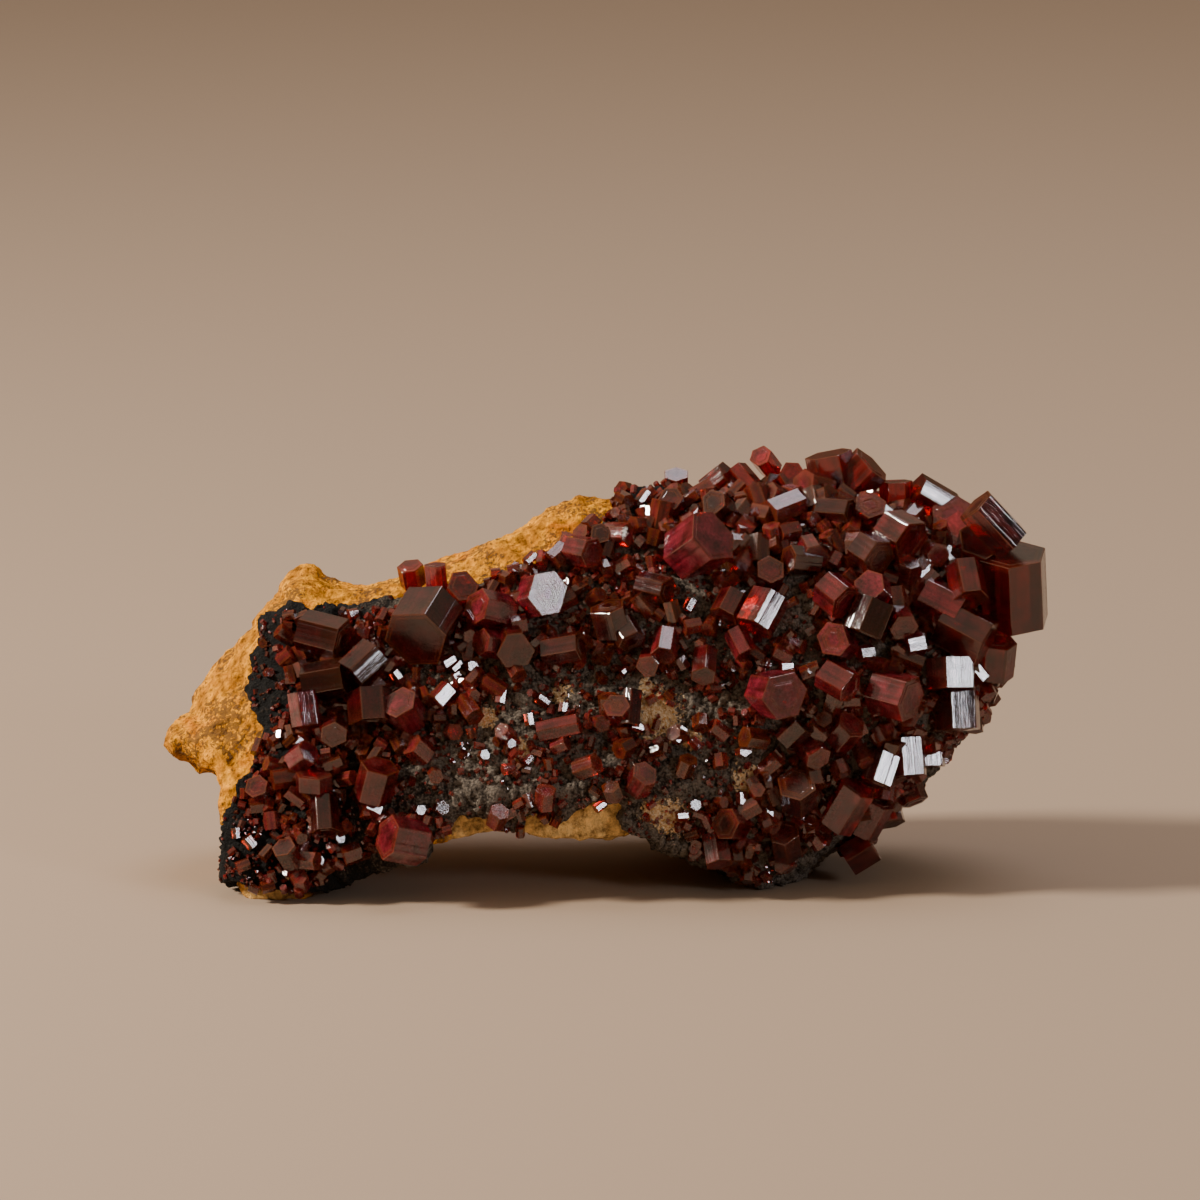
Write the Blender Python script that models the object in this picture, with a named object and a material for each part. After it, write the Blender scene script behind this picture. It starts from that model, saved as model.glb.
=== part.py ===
"""A cabinet specimen of vanadinite: red hexagonal crystals on a black crust over ochre matrix rock.

The frame is in metres at real size, +Z up, +X to the specimen's right and -Y to its front. The origin is at
the middle of its footprint, on the surface that it rests on. Every length below is in millimetres.

The rock is a loft through upright slices. The crust is the rock's own form swelled outwards and cut to a
ragged border. A crystal is placed by where it is seen from one eye point in front: a sight line through that
place finds the crust, and the crystal stands there with its axis turned the way that it grew.
"""

import math
import random
from dataclasses import dataclass

import bmesh
import bpy
from mathutils import Matrix, Vector, noise
from mathutils.bvhtree import BVHTree

MM = 0.001

# The eye point that the crystals are laid out from.
EYE_ELEVATION = math.radians(11.0)
EYE_DISTANCE = 700.0
EYE_TARGET = Vector((-0.4, -5.0, 28.4))
TARGET_UP = 30.0  # a place's height is counted from this far below the target
PASS_REACH = 20  # how far before and behind the target a sight line may pass the crust
SIGHT_STEP = 0.1  # between the places tried on a sight line

# The middle of the footprint where the specimen is laid out, which becomes the origin.
FOOTPRINT = Vector((0.0, -2.5, 0.0))

# The rock.
RING_STEPS = 2  # spans between two corners of a slice
SLICE_STEPS = 2  # spans between two slices
LUMP_HEIGHT = 0.9
LUMP_SPAN = 9.0
GRIT_HEIGHT = 0.45
GRIT_SPAN = 3.0

# The crust and the air left between neighbours.
GAP = 0.3
CRUST_THICKNESS = 1.2
CRUST_LUMP_HEIGHT = 0.35
CRUST_LUMP_SPAN = 3.2
CRUST_LOWEST_Z = 0.5  # the crust stays off the surface below
CRUST_DEPTHS = (-30.0, 20.0)  # the depths between which its border is swept
CRUST_HEIGHTS = (-2.0, 60.0)
ARCH_HEIGHTS = (-2.0, 12.0)

# The crystals.
CHAMFER = 0.3  # cut off the edges of the free end
CHAMFERED_WIDTH = 4.7  # of a crystal at least this wide
UNEVENNESS = 0.09  # how far a side face lies in or out, as a share of the width
LEAST_FACES = 6  # fewer than this is a crumb of a crystal
SMALL_LENGTH = (0.7, 1.15)  # a small crystal's length, as shares of its width
FLAT_ANGLE = math.radians(0.5)  # faces nearer to one plane than this are one face
END_ON_STAND = 0.32  # how far the middle of one that faces the eye stands out, as a share of its length
SIDE_ON_STAND = 0.28  # how far the middle of one that lies across stands out, as a share of its width
MOST_STAND = 1.7  # the farthest that its middle is moved out along the sight line, in those distances
SMALL_STAND = 0.26  # how far its middle stands out of the crust, as a share of its length
SMALL_TILT = math.radians(30.0)  # the most that a small crystal leans from the crust's normal

OCHRE = (0.539, 0.242, 0.058, 1.0)
BLACK = (0.022, 0.016, 0.013, 1.0)
DARK_RED = (0.105, 0.010, 0.005, 1.0)


@dataclass(frozen=True)
class Slice:
    """One upright slice of the rock at x. Its corners are (y, z), from the ridge round by the front."""

    x: float
    ridge: tuple
    brow: tuple
    belly: tuple
    lip: tuple
    sole: tuple
    heel: tuple
    back: tuple
    shoulder: tuple

    def ring(self):
        """The slice's corners in order, as points."""
        corners = (self.ridge, self.brow, self.belly, self.lip, self.sole, self.heel, self.back, self.shoulder)
        return [Vector((self.x, y, z)) for y, z in corners]


SLICES = [
    Slice(-44.1, (-1, 14.1), (-2.3, 13.8), (-2.8, 13.3), (-2.3, 12.7), (-1, 12.4), (0.3, 12.7), (0.8, 13.3),
          (0.3, 13.9)),
    Slice(-41, (2, 17.1), (-2, 16.2), (-5.5, 13.8), (-5, 11.2), (0, 9.8), (5, 10.5), (7, 13), (5.5, 16)),
    Slice(-38.6, (3.6, 19.6), (-2, 18.4), (-8, 13.6), (-9.5, 10.4), (-5, 9.4), (0, 9), (9, 10.5), (8, 17)),
    Slice(-36.9, (4.6, 21.8), (-2.4, 20.4), (-9.4, 12), (-13.4, 3.5), (-9, 3), (-2, 5), (10, 9.5), (9, 18.5)),
    Slice(-35, (5.5, 24.5), (-3, 22.5), (-10.5, 12), (-15, -0.9), (-10, -1.2), (-3, 2.5), (10.5, 9), (10, 20)),
    Slice(-32, (6.5, 28.5), (-4, 26.5), (-11.5, 13), (-15.3, -0.9), (-10, -1.2), (-2, 2), (11.5, 8), (11, 22)),
    Slice(-29.5, (7, 29.9), (-4, 27), (-12, 13.5), (-15, -0.4), (-10, -0.6), (0, 1.5), (12.5, 8), (11.5, 23)),
    Slice(-26.5, (5, 28.2), (-4.5, 26), (-12, 14), (-14.8, 2.6), (-9, 3), (3, 4.5), (13.5, 11), (11.5, 22)),
    Slice(-21, (3.5, 29.4), (-4.5, 27.2), (-12, 15), (-15, 4.9), (-7, 5.6), (6, 6.6), (14, 12), (11.5, 24)),
    Slice(-14, (3.5, 32.2), (-4.5, 29.8), (-12, 16.5), (-15.3, 6.5), (-5, 6.8), (8, 7.4), (14.5, 13), (11.5, 26)),
    Slice(-8, (4.5, 34.2), (-4, 31.5), (-12, 17.5), (-15.3, 6.4), (-3, 7), (9, 7.6), (14.8, 13.5), (12, 28)),
    Slice(-2.5, (5.5, 37.2), (-3.5, 33.5), (-12, 18), (-14.8, 5.8), (-3, 6.8), (10, 7), (15, 13.5), (12.5, 30)),
    Slice(3, (5, 36.4), (-3.5, 33.6), (-12, 18.5), (-14, 6.4), (-3, 6.2), (10, 5.5), (15, 13), (12, 30)),
    Slice(9, (4, 35.8), (-3.5, 33.4), (-12, 19), (-12.2, 5), (-3, 5), (10.5, 0.8), (15, 11), (11.5, 30)),
    Slice(12.5, (3.5, 36), (-3.5, 33.6), (-12, 19), (-10.5, 2.6), (-4, 2.4), (10.5, -1.3), (14.8, 9.5), (11, 30)),
    Slice(15.5, (3.5, 36), (-3.5, 33.6), (-12, 19), (-9.2, -0.9), (-4, -1.3), (9.5, -1.4), (14.2, 10), (11, 30)),
    Slice(20, (3, 36.2), (-4, 34), (-11.5, 20), (-8.5, 3.5), (-2, 2.2), (8, 0.8), (13, 12), (10.5, 30)),
    Slice(26, (2.5, 35.6), (-4, 33.4), (-10.5, 21), (-7, 8), (-1, 6.5), (5, 7), (11.5, 16), (9.5, 29)),
    Slice(31, (2, 33.4), (-3.5, 31.4), (-8.5, 22), (-5, 12), (-0.5, 10.5), (4.5, 11.5), (9.5, 18), (8, 27.5)),
    Slice(35, (1.5, 30), (-3, 28.5), (-5.5, 23), (-3.5, 16.5), (0, 15), (4, 16), (7, 21), (6, 26)),
    Slice(37.5, (1, 27), (-1.5, 26), (-3, 23.5), (-2, 20.5), (0.5, 19.5), (3, 20.5), (4.5, 23.5), (3.5, 26)),
]

# The crust's border as seen from the eye point: (across, up).
CRUST_BORDER = [
    (-33.2, 29.2), (-34.5, 28.1), (-34.7, 26.0), (-35.5, 23.1), (-36.0, 20.6), (-34.2, 17.0), (-35.0, 13.5),
    (-36.4, 12.4), (-37.2, 9.7), (-38.3, 7.8), (-38.3, 1.9), (-37.2, 1.6), (-35.2, 1.2), (-31.7, 1.0),
    (-29.5, 0.3), (-24.0, 2.0), (-18.5, 3.0), (-16.4, 5.5), (-14.9, 8.2), (-10.4, 8.5), (-10.2, 6.4),
    (-8.3, 6.4), (-7.4, 8.5), (-4.4, 7.8), (-1.4, 9.5), (1.6, 10.0), (1.9, 3.0), (6.0, 2.0), (13.0, 0.8),
    (20.0, -1.0), (46.0, -1.0), (46.0, 46.0), (2.6, 46.0), (1.2, 40.9), (0.8, 39.4), (-0.3, 38.0), (-2.0, 37.2),
    (-3.6, 36.4), (-5.1, 35.9), (-8.2, 34.0), (-12.8, 32.3), (-21.5, 31.1), (-25.3, 29.6), (-28.9, 29.6),
    (-30.9, 30.2),
]


# How far back the crust reaches, seen from above: (x, y).
CRUST_PLAN = [
    (-46.0, -30.0), (48.0, -30.0), (48.0, 6.0), (38.0, 9.2), (33.5, 7.8), (29.0, 9.4), (25.0, 7.2), (21.5, 4.4),
    (17.0, 5.6), (12.0, 3.6), (8.0, 5.2), (3.0, 3.8), (-2.0, 4.8), (-8.0, 2.0), (-13.0, 3.4), (-20.0, 0.6),
    (-26.0, 1.8), (-31.0, -1.0), (-36.0, 0.4), (-46.0, -1.0),
]

# The bare rock under the arch and behind the left foot, seen from above: (x, y).
ARCH_PLAN = [
    (-48.0, -5.0), (-36.0, -6.5), (-31.5, -9.8), (-27.0, -9.0), (-24.0, -11.4), (-17.0, -10.0), (-10.0, -11.6),
    (-3.0, -10.2), (4.0, -11.4), (9.0, -8.6), (12.4, -3.0), (13.6, 2.0), (13.0, 25.0), (-48.0, 25.0),
]


@dataclass(frozen=True)
class Crystal:
    """A six-sided prism. Lengths are in millimetres and angles in degrees.

    across and up are where its middle is seen from the eye point. heading is its axis in that picture, 0 to
    the right and 90 up, facing turns the axis out of the picture towards the eye, and roll turns the prism
    about its axis. y is given only where no crust lies behind it.
    """

    across: float
    up: float
    width: float
    length: float
    heading: float
    facing: float
    roll: float = 30.0
    y: float = None


LARGE = {
    "left": [
        Crystal(-28.1, 26.4, 4.6, 4.4, -14, 20, 20),
        Crystal(-24.2, 23.5, 3.6, 3.7, 40, 15, 15),
        Crystal(-23.4, 19.3, 4.5, 3.3, -85, 15, 10),
        Crystal(-20.0, 18.8, 3.8, 3.4, 120, 50, 30),
        Crystal(-17.9, 27.5, 6.9, 4.8, -120, 48, 10),
        Crystal(-19.2, 32.5, 2.6, 2.2, 100, 30, 20),
        Crystal(-16.7, 31.7, 2.4, 3.8, 95, 15, 0),
        Crystal(-14.3, 31.0, 3.4, 2.4, 60, 65, 10),
        Crystal(-27.0, 16.9, 2.9, 2.6, 100, 70, 0),
        Crystal(-30.0, 19.1, 3.2, 3.4, -60, 30, 40),
        Crystal(-27.9, 22.0, 3.8, 4.2, 10, 12, 0),
        Crystal(-22.8, 11.8, 4.2, 3.6, 75, 25, 30),
        Crystal(-20.1, 6.0, 4.6, 3.8, 168, 30, 30),
        Crystal(-27.9, 8.5, 2.8, 3.6, -85, 20, 30),
        Crystal(-28.9, 11.9, 3.8, 1.6, 90, 20, 15),
        Crystal(-30.2, 14.3, 2.8, 2.3, 35, 35, 10),
        Crystal(-31.6, 4.5, 2.6, 2.4, 120, 40, 0),
        Crystal(-34.5, 11.0, 2.5, 1.9, 140, 50, 20),
    ],
    "middle": [
        Crystal(-11.3, 29.0, 3.9, 3.8, 160, 45, 30),
        Crystal(-11.2, 25.6, 3.0, 2.8, 165, 40, 30),
        Crystal(-9.0, 25.3, 4.0, 2.4, -60, 68, 5),
        Crystal(-6.3, 30.5, 4.6, 3.0, 10, 58, 0),
        Crystal(-2.1, 34.9, 3.2, 2.9, -10, 45, 15),
        Crystal(-0.4, 36.3, 2.2, 2.0, 80, 68, 0),
        Crystal(0.7, 28.0, 3.8, 3.0, 105, 22, 55),
        Crystal(2.3, 26.6, 3.0, 2.4, -60, 35, 20),
        Crystal(-4.1, 25.2, 3.2, 3.8, 10, 20, 10),
        Crystal(1.4, 19.0, 2.9, 2.2, 110, 62, 5),
        Crystal(2.7, 19.2, 2.1, 3.6, -95, 15, 0),
        Crystal(-4.5, 17.2, 2.3, 4.2, 12, 10, 0),
        Crystal(3.7, 12.0, 2.9, 2.6, 60, 50, 20),
        Crystal(4.5, 23.8, 2.5, 2.2, -110, 66, 0),
        Crystal(6.1, 25.5, 2.7, 3.0, -100, 42, 30),
        Crystal(10.0, 23.5, 2.6, 3.4, -95, 48, 0),
        Crystal(5.1, 31.3, 2.9, 3.3, -15, 35, 30),
        Crystal(9.4, 35.4, 5.6, 4.7, 35, 42, 40),
        Crystal(12.5, 29.4, 3.1, 2.8, -118, 30, 30),
        Crystal(15.9, 28.8, 4.1, 3.8, -100, 42, 40),
        Crystal(13.6, 25.7, 2.5, 2.8, -63, 20, 30),
        Crystal(17.2, 20.6, 5.2, 4.0, -10, 64, 20),
        Crystal(16.6, 32.7, 3.0, 2.2, 80, 66, 10),
        Crystal(23.1, 30.5, 3.8, 3.0, -30, 42, 20),
        Crystal(20.8, 34.8, 2.9, 2.6, -60, 58, 10),
        Crystal(19.8, 34.0, 3.2, 3.2, 175, 30, 20),
        Crystal(23.4, 25.8, 3.6, 3.1, 150, 55, 10),
    ],
    "top": [
        Crystal(6.8, 39.6, 2.8, 2.2, 110, 60, 10),
        Crystal(7.2, 41.8, 2.7, 1.9, 90, 35, 0),
        Crystal(11.4, 41.9, 3.0, 2.8, 38, 25, 0),
        Crystal(11.6, 39.2, 3.0, 3.0, 140, 55, 20),
        Crystal(14.0, 41.9, 2.8, 3.0, -50, 20, 20),
        Crystal(16.2, 43.7, 2.5, 2.8, 130, 50, 10),
        Crystal(16.6, 40.6, 3.6, 3.0, 40, 45, 20),
        Crystal(18.6, 42.0, 3.1, 2.5, 60, 64, 0),
        Crystal(22.8, 42.6, 4.9, 4.2, 102, 10, 22),
        Crystal(25.5, 42.2, 4.6, 3.9, 45, 15, 10),
        Crystal(29.2, 40.7, 3.4, 2.4, 92, 8, 30),
        Crystal(23.1, 39.0, 2.6, 3.5, -5, 30, 10),
        Crystal(26.5, 38.8, 3.4, 2.8, 80, 58, 0),
        Crystal(29.6, 36.5, 4.8, 3.3, -32, 38, 25),
        Crystal(26.7, 34.7, 4.2, 2.8, -35, 45, 30),
    ],
    "end": [
        Crystal(33.0, 40.1, 3.8, 4.4, -25, 8, 25),
        Crystal(34.9, 36.7, 6.0, 5.0, 75, 60, 12),
        Crystal(39.1, 37.8, 4.0, 5.4, 133, 16, 30, -4.5),
        Crystal(41.0, 31.2, 7.0, 7.4, 94, 24, 48, -3.5),
        Crystal(36.3, 31.7, 4.0, 3.8, -80, 28, 20, -8.0),
        Crystal(33.8, 29.7, 4.4, 4.2, -27, 10, 15),
        Crystal(36.1, 26.7, 5.2, 5.0, -28, 14, 10, -9.0),
        Crystal(39.1, 24.3, 4.2, 4.0, 86, 32, 25, -6.0),
        Crystal(34.7, 22.6, 5.2, 3.1, -88, 4, 18, -10.0),
        Crystal(35.3, 18.9, 4.6, 3.8, -85, 24, 25, -8.5),
        Crystal(33.1, 18.5, 4.2, 4.2, -92, 15, 0, -5.5),
        Crystal(32.3, 15.2, 3.8, 3.8, -88, 5, 10, -5.5),
        Crystal(30.3, 14.3, 3.7, 3.8, -85, 6, 25),
        Crystal(27.7, 13.0, 3.6, 3.2, -110, 10, 15),
        Crystal(30.6, 11.0, 2.9, 2.8, -68, 15, 30, -5.0),
        Crystal(28.5, 8.8, 2.8, 2.6, -75, 20, 10, -5.0),
        Crystal(29.0, 20.6, 4.8, 4.0, -15, 32, 20),
        Crystal(26.7, 28.2, 4.4, 3.6, -112, 6, 15),
        Crystal(26.9, 31.0, 3.4, 3.0, 150, 55, 20),
        Crystal(30.3, 32.8, 2.4, 2.6, 80, 38, 10),
        Crystal(29.6, 27.8, 3.0, 2.6, -60, 55, 0),
        Crystal(30.9, 25.5, 2.6, 1.9, 12, 10, 30),
    ],
    "low": [
        Crystal(23.4, 21.9, 3.4, 3.4, -30, 30, 15),
        Crystal(19.4, 10.8, 4.0, 3.2, 95, 55, 5),
        Crystal(12.8, 7.5, 3.3, 2.8, 170, 60, 10),
        Crystal(18.1, 5.8, 3.4, 3.3, 100, 50, 0),
        Crystal(11.3, 5.0, 3.0, 3.1, -80, 22, 0),
        Crystal(18.9, 16.7, 2.8, 2.6, 45, 12, 30),
        Crystal(20.9, 14.8, 2.8, 2.6, -50, 45, 20),
        Crystal(24.0, 16.8, 3.2, 2.8, 50, 42, 20),
        Crystal(24.2, 9.4, 3.8, 4.8, 60, 24, 15),
        Crystal(26.6, 8.3, 3.4, 3.8, 62, 18, 35, -8.0),
        Crystal(25.6, 4.7, 4.0, 3.0, 32, 4, 0, -8.0),
    ],
}

# The small crystals that are one with the crust: (across, up, width).
SMALL = [
    (-31.7, 24.1, 1.9), (-31.8, 26.3, 1.6), (-32.8, 13.4, 1.6), (-30.8, 10.3, 1.6), (-30.2, 2.0, 1.9),
    (-25.1, 4.7, 2.0), (-8.4, 27.3, 2.0), (-0.7, 30.0, 1.8), (-12.9, 22.0, 1.7), (-8.8, 22.8, 1.9),
    (-10.9, 21.3, 1.8), (0.5, 19.4, 2.0), (-0.4, 17.5, 1.8), (2.1, 15.1, 1.9), (-1.7, 13.2, 2.2),
    (0.8, 11.0, 1.9), (-4.4, 15.3, 1.6), (-5.9, 10.4, 2.1), (-9.7, 16.5, 1.7), (-13.3, 19.0, 2.1),
    (-15.0, 16.6, 1.8), (-16.1, 20.3, 2.2), (-18.6, 14.7, 2.4), (-16.8, 12.3, 1.6), (-10.7, 8.5, 2.0),
    (3.4, 41.0, 1.7), (3.6, 37.0, 1.9), (5.1, 36.0, 1.9), (4.2, 29.3, 2.1), (6.9, 28.6, 1.7),
    (8.8, 27.3, 1.7), (10.5, 27.5, 1.6), (14.2, 37.0, 1.9), (17.0, 36.0, 1.9), (18.2, 36.5, 2.0),
    (7.3, 16.5, 1.7), (8.1, 13.3, 1.9), (9.7, 17.7, 1.8), (11.6, 17.0, 1.6), (11.7, 13.9, 1.6),
    (15.1, 16.3, 2.2), (16.4, 7.4, 1.8), (21.1, 6.0, 1.6), (19.9, 4.2, 1.7), (17.2, 3.0, 1.6),
    (20.6, 22.8, 1.6), (19.4, 25.4, 1.6), (26.2, 24.6, 1.6), (27.2, 23.4, 1.7), (27.9, 17.2, 1.6),
    (25.8, 14.6, 1.8), (21.2, 17.0, 1.9), (24.8, 33.5, 1.6), (31.0, 30.2, 1.8),
]


def sight_axes():
    """The picture's right, its up and the direction back towards the eye."""
    right = Vector((1, 0, 0))
    up = Vector((0, math.sin(EYE_ELEVATION), math.cos(EYE_ELEVATION)))
    toward = Vector((0, -math.cos(EYE_ELEVATION), math.sin(EYE_ELEVATION)))
    return right, up, toward


def sight_line(across, up):
    """The eye point and the direction of the sight line through a place in the picture."""
    right, upward, toward = sight_axes()
    eye = EYE_TARGET + toward * EYE_DISTANCE
    place = EYE_TARGET + right * (across - EYE_TARGET.x) + upward * (up - TARGET_UP)
    return eye, (place - eye).normalized()


def through(points, steps, closed):
    """Points along the smooth curve through points, with steps spans from each to the next."""
    count = len(points)
    last = count if closed else count - 1
    curve = []
    for i in range(last):
        if closed:
            p0, p1, p2, p3 = (points[(i + k) % count] for k in (-1, 0, 1, 2))
        else:
            p0, p1, p2, p3 = (points[min(max(i + k, 0), count - 1)] for k in (-1, 0, 1, 2))
        for step in range(steps):
            t = step / steps
            bend = 2 * p0 - 5 * p1 + 4 * p2 - p3
            twist = 3 * p1 - p0 - 3 * p2 + p3
            curve.append(p1 + 0.5 * t * (p2 - p0 + t * (bend + t * twist)))
    if not closed:
        curve.append(points[-1])
    return curve


def fractal(point, span, seed):
    """Smooth noise from about -1 to 1 whose lumps are about span across."""
    return noise.fractal(point / span + Vector((seed, 2 * seed, 0.5 * seed)), 1.0, 2.0, 3)


def rock_mesh():
    """The rock's surface lofted through its slices, with lumps and grit, as a bmesh."""
    rings = [through(item.ring(), RING_STEPS, closed=True) for item in SLICES]
    around = len(rings[0])
    lines = [through([ring[k] for ring in rings], SLICE_STEPS, closed=False) for k in range(around)]
    bm = bmesh.new()
    grid = [[bm.verts.new(point) for point in line] for line in lines]
    along = len(lines[0])
    for k in range(around):
        line = grid[k]
        following = grid[(k + 1) % around]
        for i in range(along - 1):
            bm.faces.new((line[i], following[i], following[i + 1], line[i + 1]))
    for end in (0, along - 1):
        bm.faces.new([line[end] for line in grid])
    bmesh.ops.recalc_face_normals(bm, faces=bm.faces)
    bmesh.ops.triangulate(bm, faces=bm.faces)
    bm.normal_update()
    moves = []
    for vert in bm.verts:
        height = LUMP_HEIGHT * fractal(vert.co, LUMP_SPAN, 3.1) + GRIT_HEIGHT * fractal(vert.co, GRIT_SPAN, 7.7)
        moves.append(vert.normal * height)
    for vert, move in zip(bm.verts, moves):
        vert.co += move
    bm.normal_update()
    return bm


def swelled(bm, distance, lumpy=True):
    """A copy of the rock's surface moved outwards, with the crust's own lumps on it."""
    copy = bm.copy()
    moves = []
    for vert in copy.verts:
        height = distance
        if lumpy:
            height += CRUST_LUMP_HEIGHT * abs(fractal(vert.co, CRUST_LUMP_SPAN, 12.3))
        moves.append(vert.normal * height)
    for vert, move in zip(copy.verts, moves):
        vert.co += move
    return copy


def new_object(name, bm, collection):
    """An object from a bmesh in millimetres, which is freed."""
    mesh = bpy.data.meshes.new(name)
    bm.transform(Matrix.Scale(MM, 4) @ Matrix.Translation(-FOOTPRINT))
    bm.to_mesh(mesh)
    bm.free()
    body = bpy.data.objects.new(name, mesh)
    collection.objects.link(body)
    return body


def cutter(name, bm, collection):
    """An object that only cuts others."""
    body = new_object(name, bm, collection)
    body.hide_render = True
    body.display_type = "WIRE"
    return body


def boolean(body, other, operation):
    """Cut, join or intersect two objects, leaving the result as the first one's mesh."""
    modifier = body.modifiers.new(operation.title(), "BOOLEAN")
    modifier.operation = operation
    modifier.solver = "EXACT"
    modifier.object = other
    depsgraph = bpy.context.evaluated_depsgraph_get()
    mesh = bpy.data.meshes.new_from_object(body.evaluated_get(depsgraph))
    body.modifiers.clear()
    old = body.data
    body.data = mesh
    bpy.data.meshes.remove(old)


def discard(body):
    """Remove an object that has done its work."""
    mesh = body.data
    bpy.data.objects.remove(body)
    bpy.data.meshes.remove(mesh)


def islands(bm):
    """The connected groups of vertices in a bmesh."""
    found = []
    left = set(bm.verts)
    while left:
        group = set()
        stack = [left.pop()]
        while stack:
            vert = stack.pop()
            group.add(vert)
            for edge in vert.link_edges:
                other = edge.other_vert(vert)
                if other in left:
                    left.discard(other)
                    stack.append(other)
        found.append(group)
    return found


def keep_largest(body):
    """Drop the crumbs that a cut has left beside the main solid, and the edges it left across flat faces."""
    bm = bmesh.new()
    bm.from_mesh(body.data)
    groups = sorted(islands(bm), key=len)
    for group in groups[:-1]:
        bmesh.ops.delete(bm, geom=list(group), context="VERTS")
    bmesh.ops.dissolve_limit(bm, angle_limit=FLAT_ANGLE, verts=bm.verts, edges=bm.edges)
    bmesh.ops.triangulate(bm, faces=bm.faces)
    bm.to_mesh(body.data)
    bm.free()


def flatten_foot(body, height):
    """Cut an object off flat at a height above the surface that it rests on."""
    bm = bmesh.new()
    bm.from_mesh(body.data)
    geometry = bm.verts[:] + bm.edges[:] + bm.faces[:]
    plane = Vector((0, 0, height * MM))
    cut = bmesh.ops.bisect_plane(bm, geom=geometry, plane_co=plane, plane_no=(0, 0, 1), clear_inner=True)
    edges = [item for item in cut["geom_cut"] if isinstance(item, bmesh.types.BMEdge)]
    bmesh.ops.holes_fill(bm, edges=edges, sides=0)
    bmesh.ops.recalc_face_normals(bm, faces=bm.faces)
    bm.to_mesh(body.data)
    bm.free()


def border_prism(points, depths):
    """The solid swept by a closed outline in the picture, from one depth to another."""
    rings = []
    for depth in depths:
        ring = []
        for across, up in points:
            eye, line = sight_line(across, up)
            ring.append(eye + line * ((depth - eye.y) / line.y))
        rings.append(ring)
    return swept(*rings)


def swept(first, second):
    """The closed solid between two rings of the same number of points."""
    bm = bmesh.new()
    low = [bm.verts.new(point) for point in first]
    high = [bm.verts.new(point) for point in second]
    bm.faces.new(low)
    bm.faces.new(high)
    for i in range(len(low)):
        j = (i + 1) % len(low)
        bm.faces.new((low[i], low[j], high[j], high[i]))
    bmesh.ops.recalc_face_normals(bm, faces=bm.faces)
    bmesh.ops.triangulate(bm, faces=bm.faces)
    return bm


def plan_prism(points, heights):
    """The solid swept by a closed outline in plan, from one height to another."""
    rings = [[Vector((x, y, z)) for x, y in points] for z in heights]
    return swept(*rings)


def crystal_axes(item):
    """A crystal's own frame: two directions across it, then the direction along it."""
    right, upward, toward = sight_axes()
    heading = math.radians(item.heading)
    facing = math.radians(item.facing)
    in_picture = right * math.cos(heading) + upward * math.sin(heading)
    side = upward * math.cos(heading) - right * math.sin(heading)
    along = in_picture * math.cos(facing) + toward * math.sin(facing)
    return side, along.cross(side), along


def prism(axes, middle, width, length, roll, name, grow=0.0, chamfer=0.0):
    """A six-sided prism with slightly uneven sides. grow moves every face out by that much."""
    rng = random.Random(name)
    flat = width * math.cos(math.pi / 6) / 2
    reach = [flat * (1 + rng.uniform(-UNEVENNESS, UNEVENNESS)) + grow for _ in range(6)]
    bm = bmesh.new()
    bmesh.ops.create_cone(
        bm, cap_ends=True, segments=6, radius1=width / 2, radius2=width / 2, depth=length + 2 * grow
    )
    for vert in bm.verts:
        turn = math.atan2(vert.co.y, vert.co.x)
        corner = math.floor(math.degrees(turn) / 60) % 6
        vert.co.xy = hexagon_corner(reach, corner)
    if chamfer:
        free = [edge for edge in bm.edges if all(vert.co.z > 0 for vert in edge.verts)]
        bmesh.ops.bevel(bm, geom=free, offset=chamfer, segments=1, affect="EDGES", profile=0.5)
    side, other, along = axes
    frame = Matrix((side, other, along)).transposed().to_4x4()
    turned = Matrix.Translation(middle) @ frame @ Matrix.Rotation(math.radians(roll), 4, "Z")
    bm.transform(turned)
    bm.normal_update()
    return bm


def hexagon_corner(reach, corner):
    """Where the two side faces on either hand of a corner meet, from each face's distance."""
    first = math.radians(60 * corner)
    second = math.radians(60 * (corner + 1))
    a = reach[corner]
    b = reach[(corner + 1) % 6]
    scale = math.sin(second - first)
    x = (a * math.sin(second) - b * math.sin(first)) / scale
    y = (b * math.cos(first) - a * math.cos(second)) / scale
    return x, y


def crystal_middle(item, skin):
    """Where a crystal's middle lies on its sight line: partly sunk in the crust that is seen behind it."""
    eye, line = sight_line(item.across, item.up)
    if item.y is not None:
        return eye + line * ((item.y - eye.y) / line.y)
    hit = skin.ray_cast(eye, line)[0]
    if hit is None:
        return nearest_pass(eye, line, skin)
    facing = math.radians(item.facing)
    stand = END_ON_STAND * item.length * math.sin(facing) + SIDE_ON_STAND * item.width * math.cos(facing)
    steps = math.ceil(stand * MOST_STAND / SIGHT_STEP)
    for step in range(steps):
        middle = hit - line * SIGHT_STEP * step
        if skin.find_nearest(middle)[3] >= stand:
            break
    return middle


def nearest_pass(eye, line, skin):
    """The point of a sight line that passes nearest to the crust."""
    places = [eye + line * (EYE_DISTANCE + step) for step in range(-PASS_REACH, PASS_REACH + 1)]
    return min(places, key=lambda place: skin.find_nearest(place)[3])


def meet(first, second):
    """Whether two objects' surfaces cross."""
    trees = []
    for body in (first, second):
        bm = bmesh.new()
        bm.from_mesh(body.data)
        trees.append(BVHTree.FromBMesh(bm))
        bm.free()
    return bool(trees[0].overlap(trees[1]))


def clusters(bodies):
    """The large crystals in groups whose members grow through each other."""
    groups = [[name] for name in bodies]
    for i, first in enumerate(bodies):
        for second in list(bodies)[i + 1:]:
            one = next(group for group in groups if first in group)
            other = next(group for group in groups if second in group)
            if one is not other and meet(bodies[first], bodies[second]):
                one.extend(other)
                groups.remove(other)
    return groups


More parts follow.
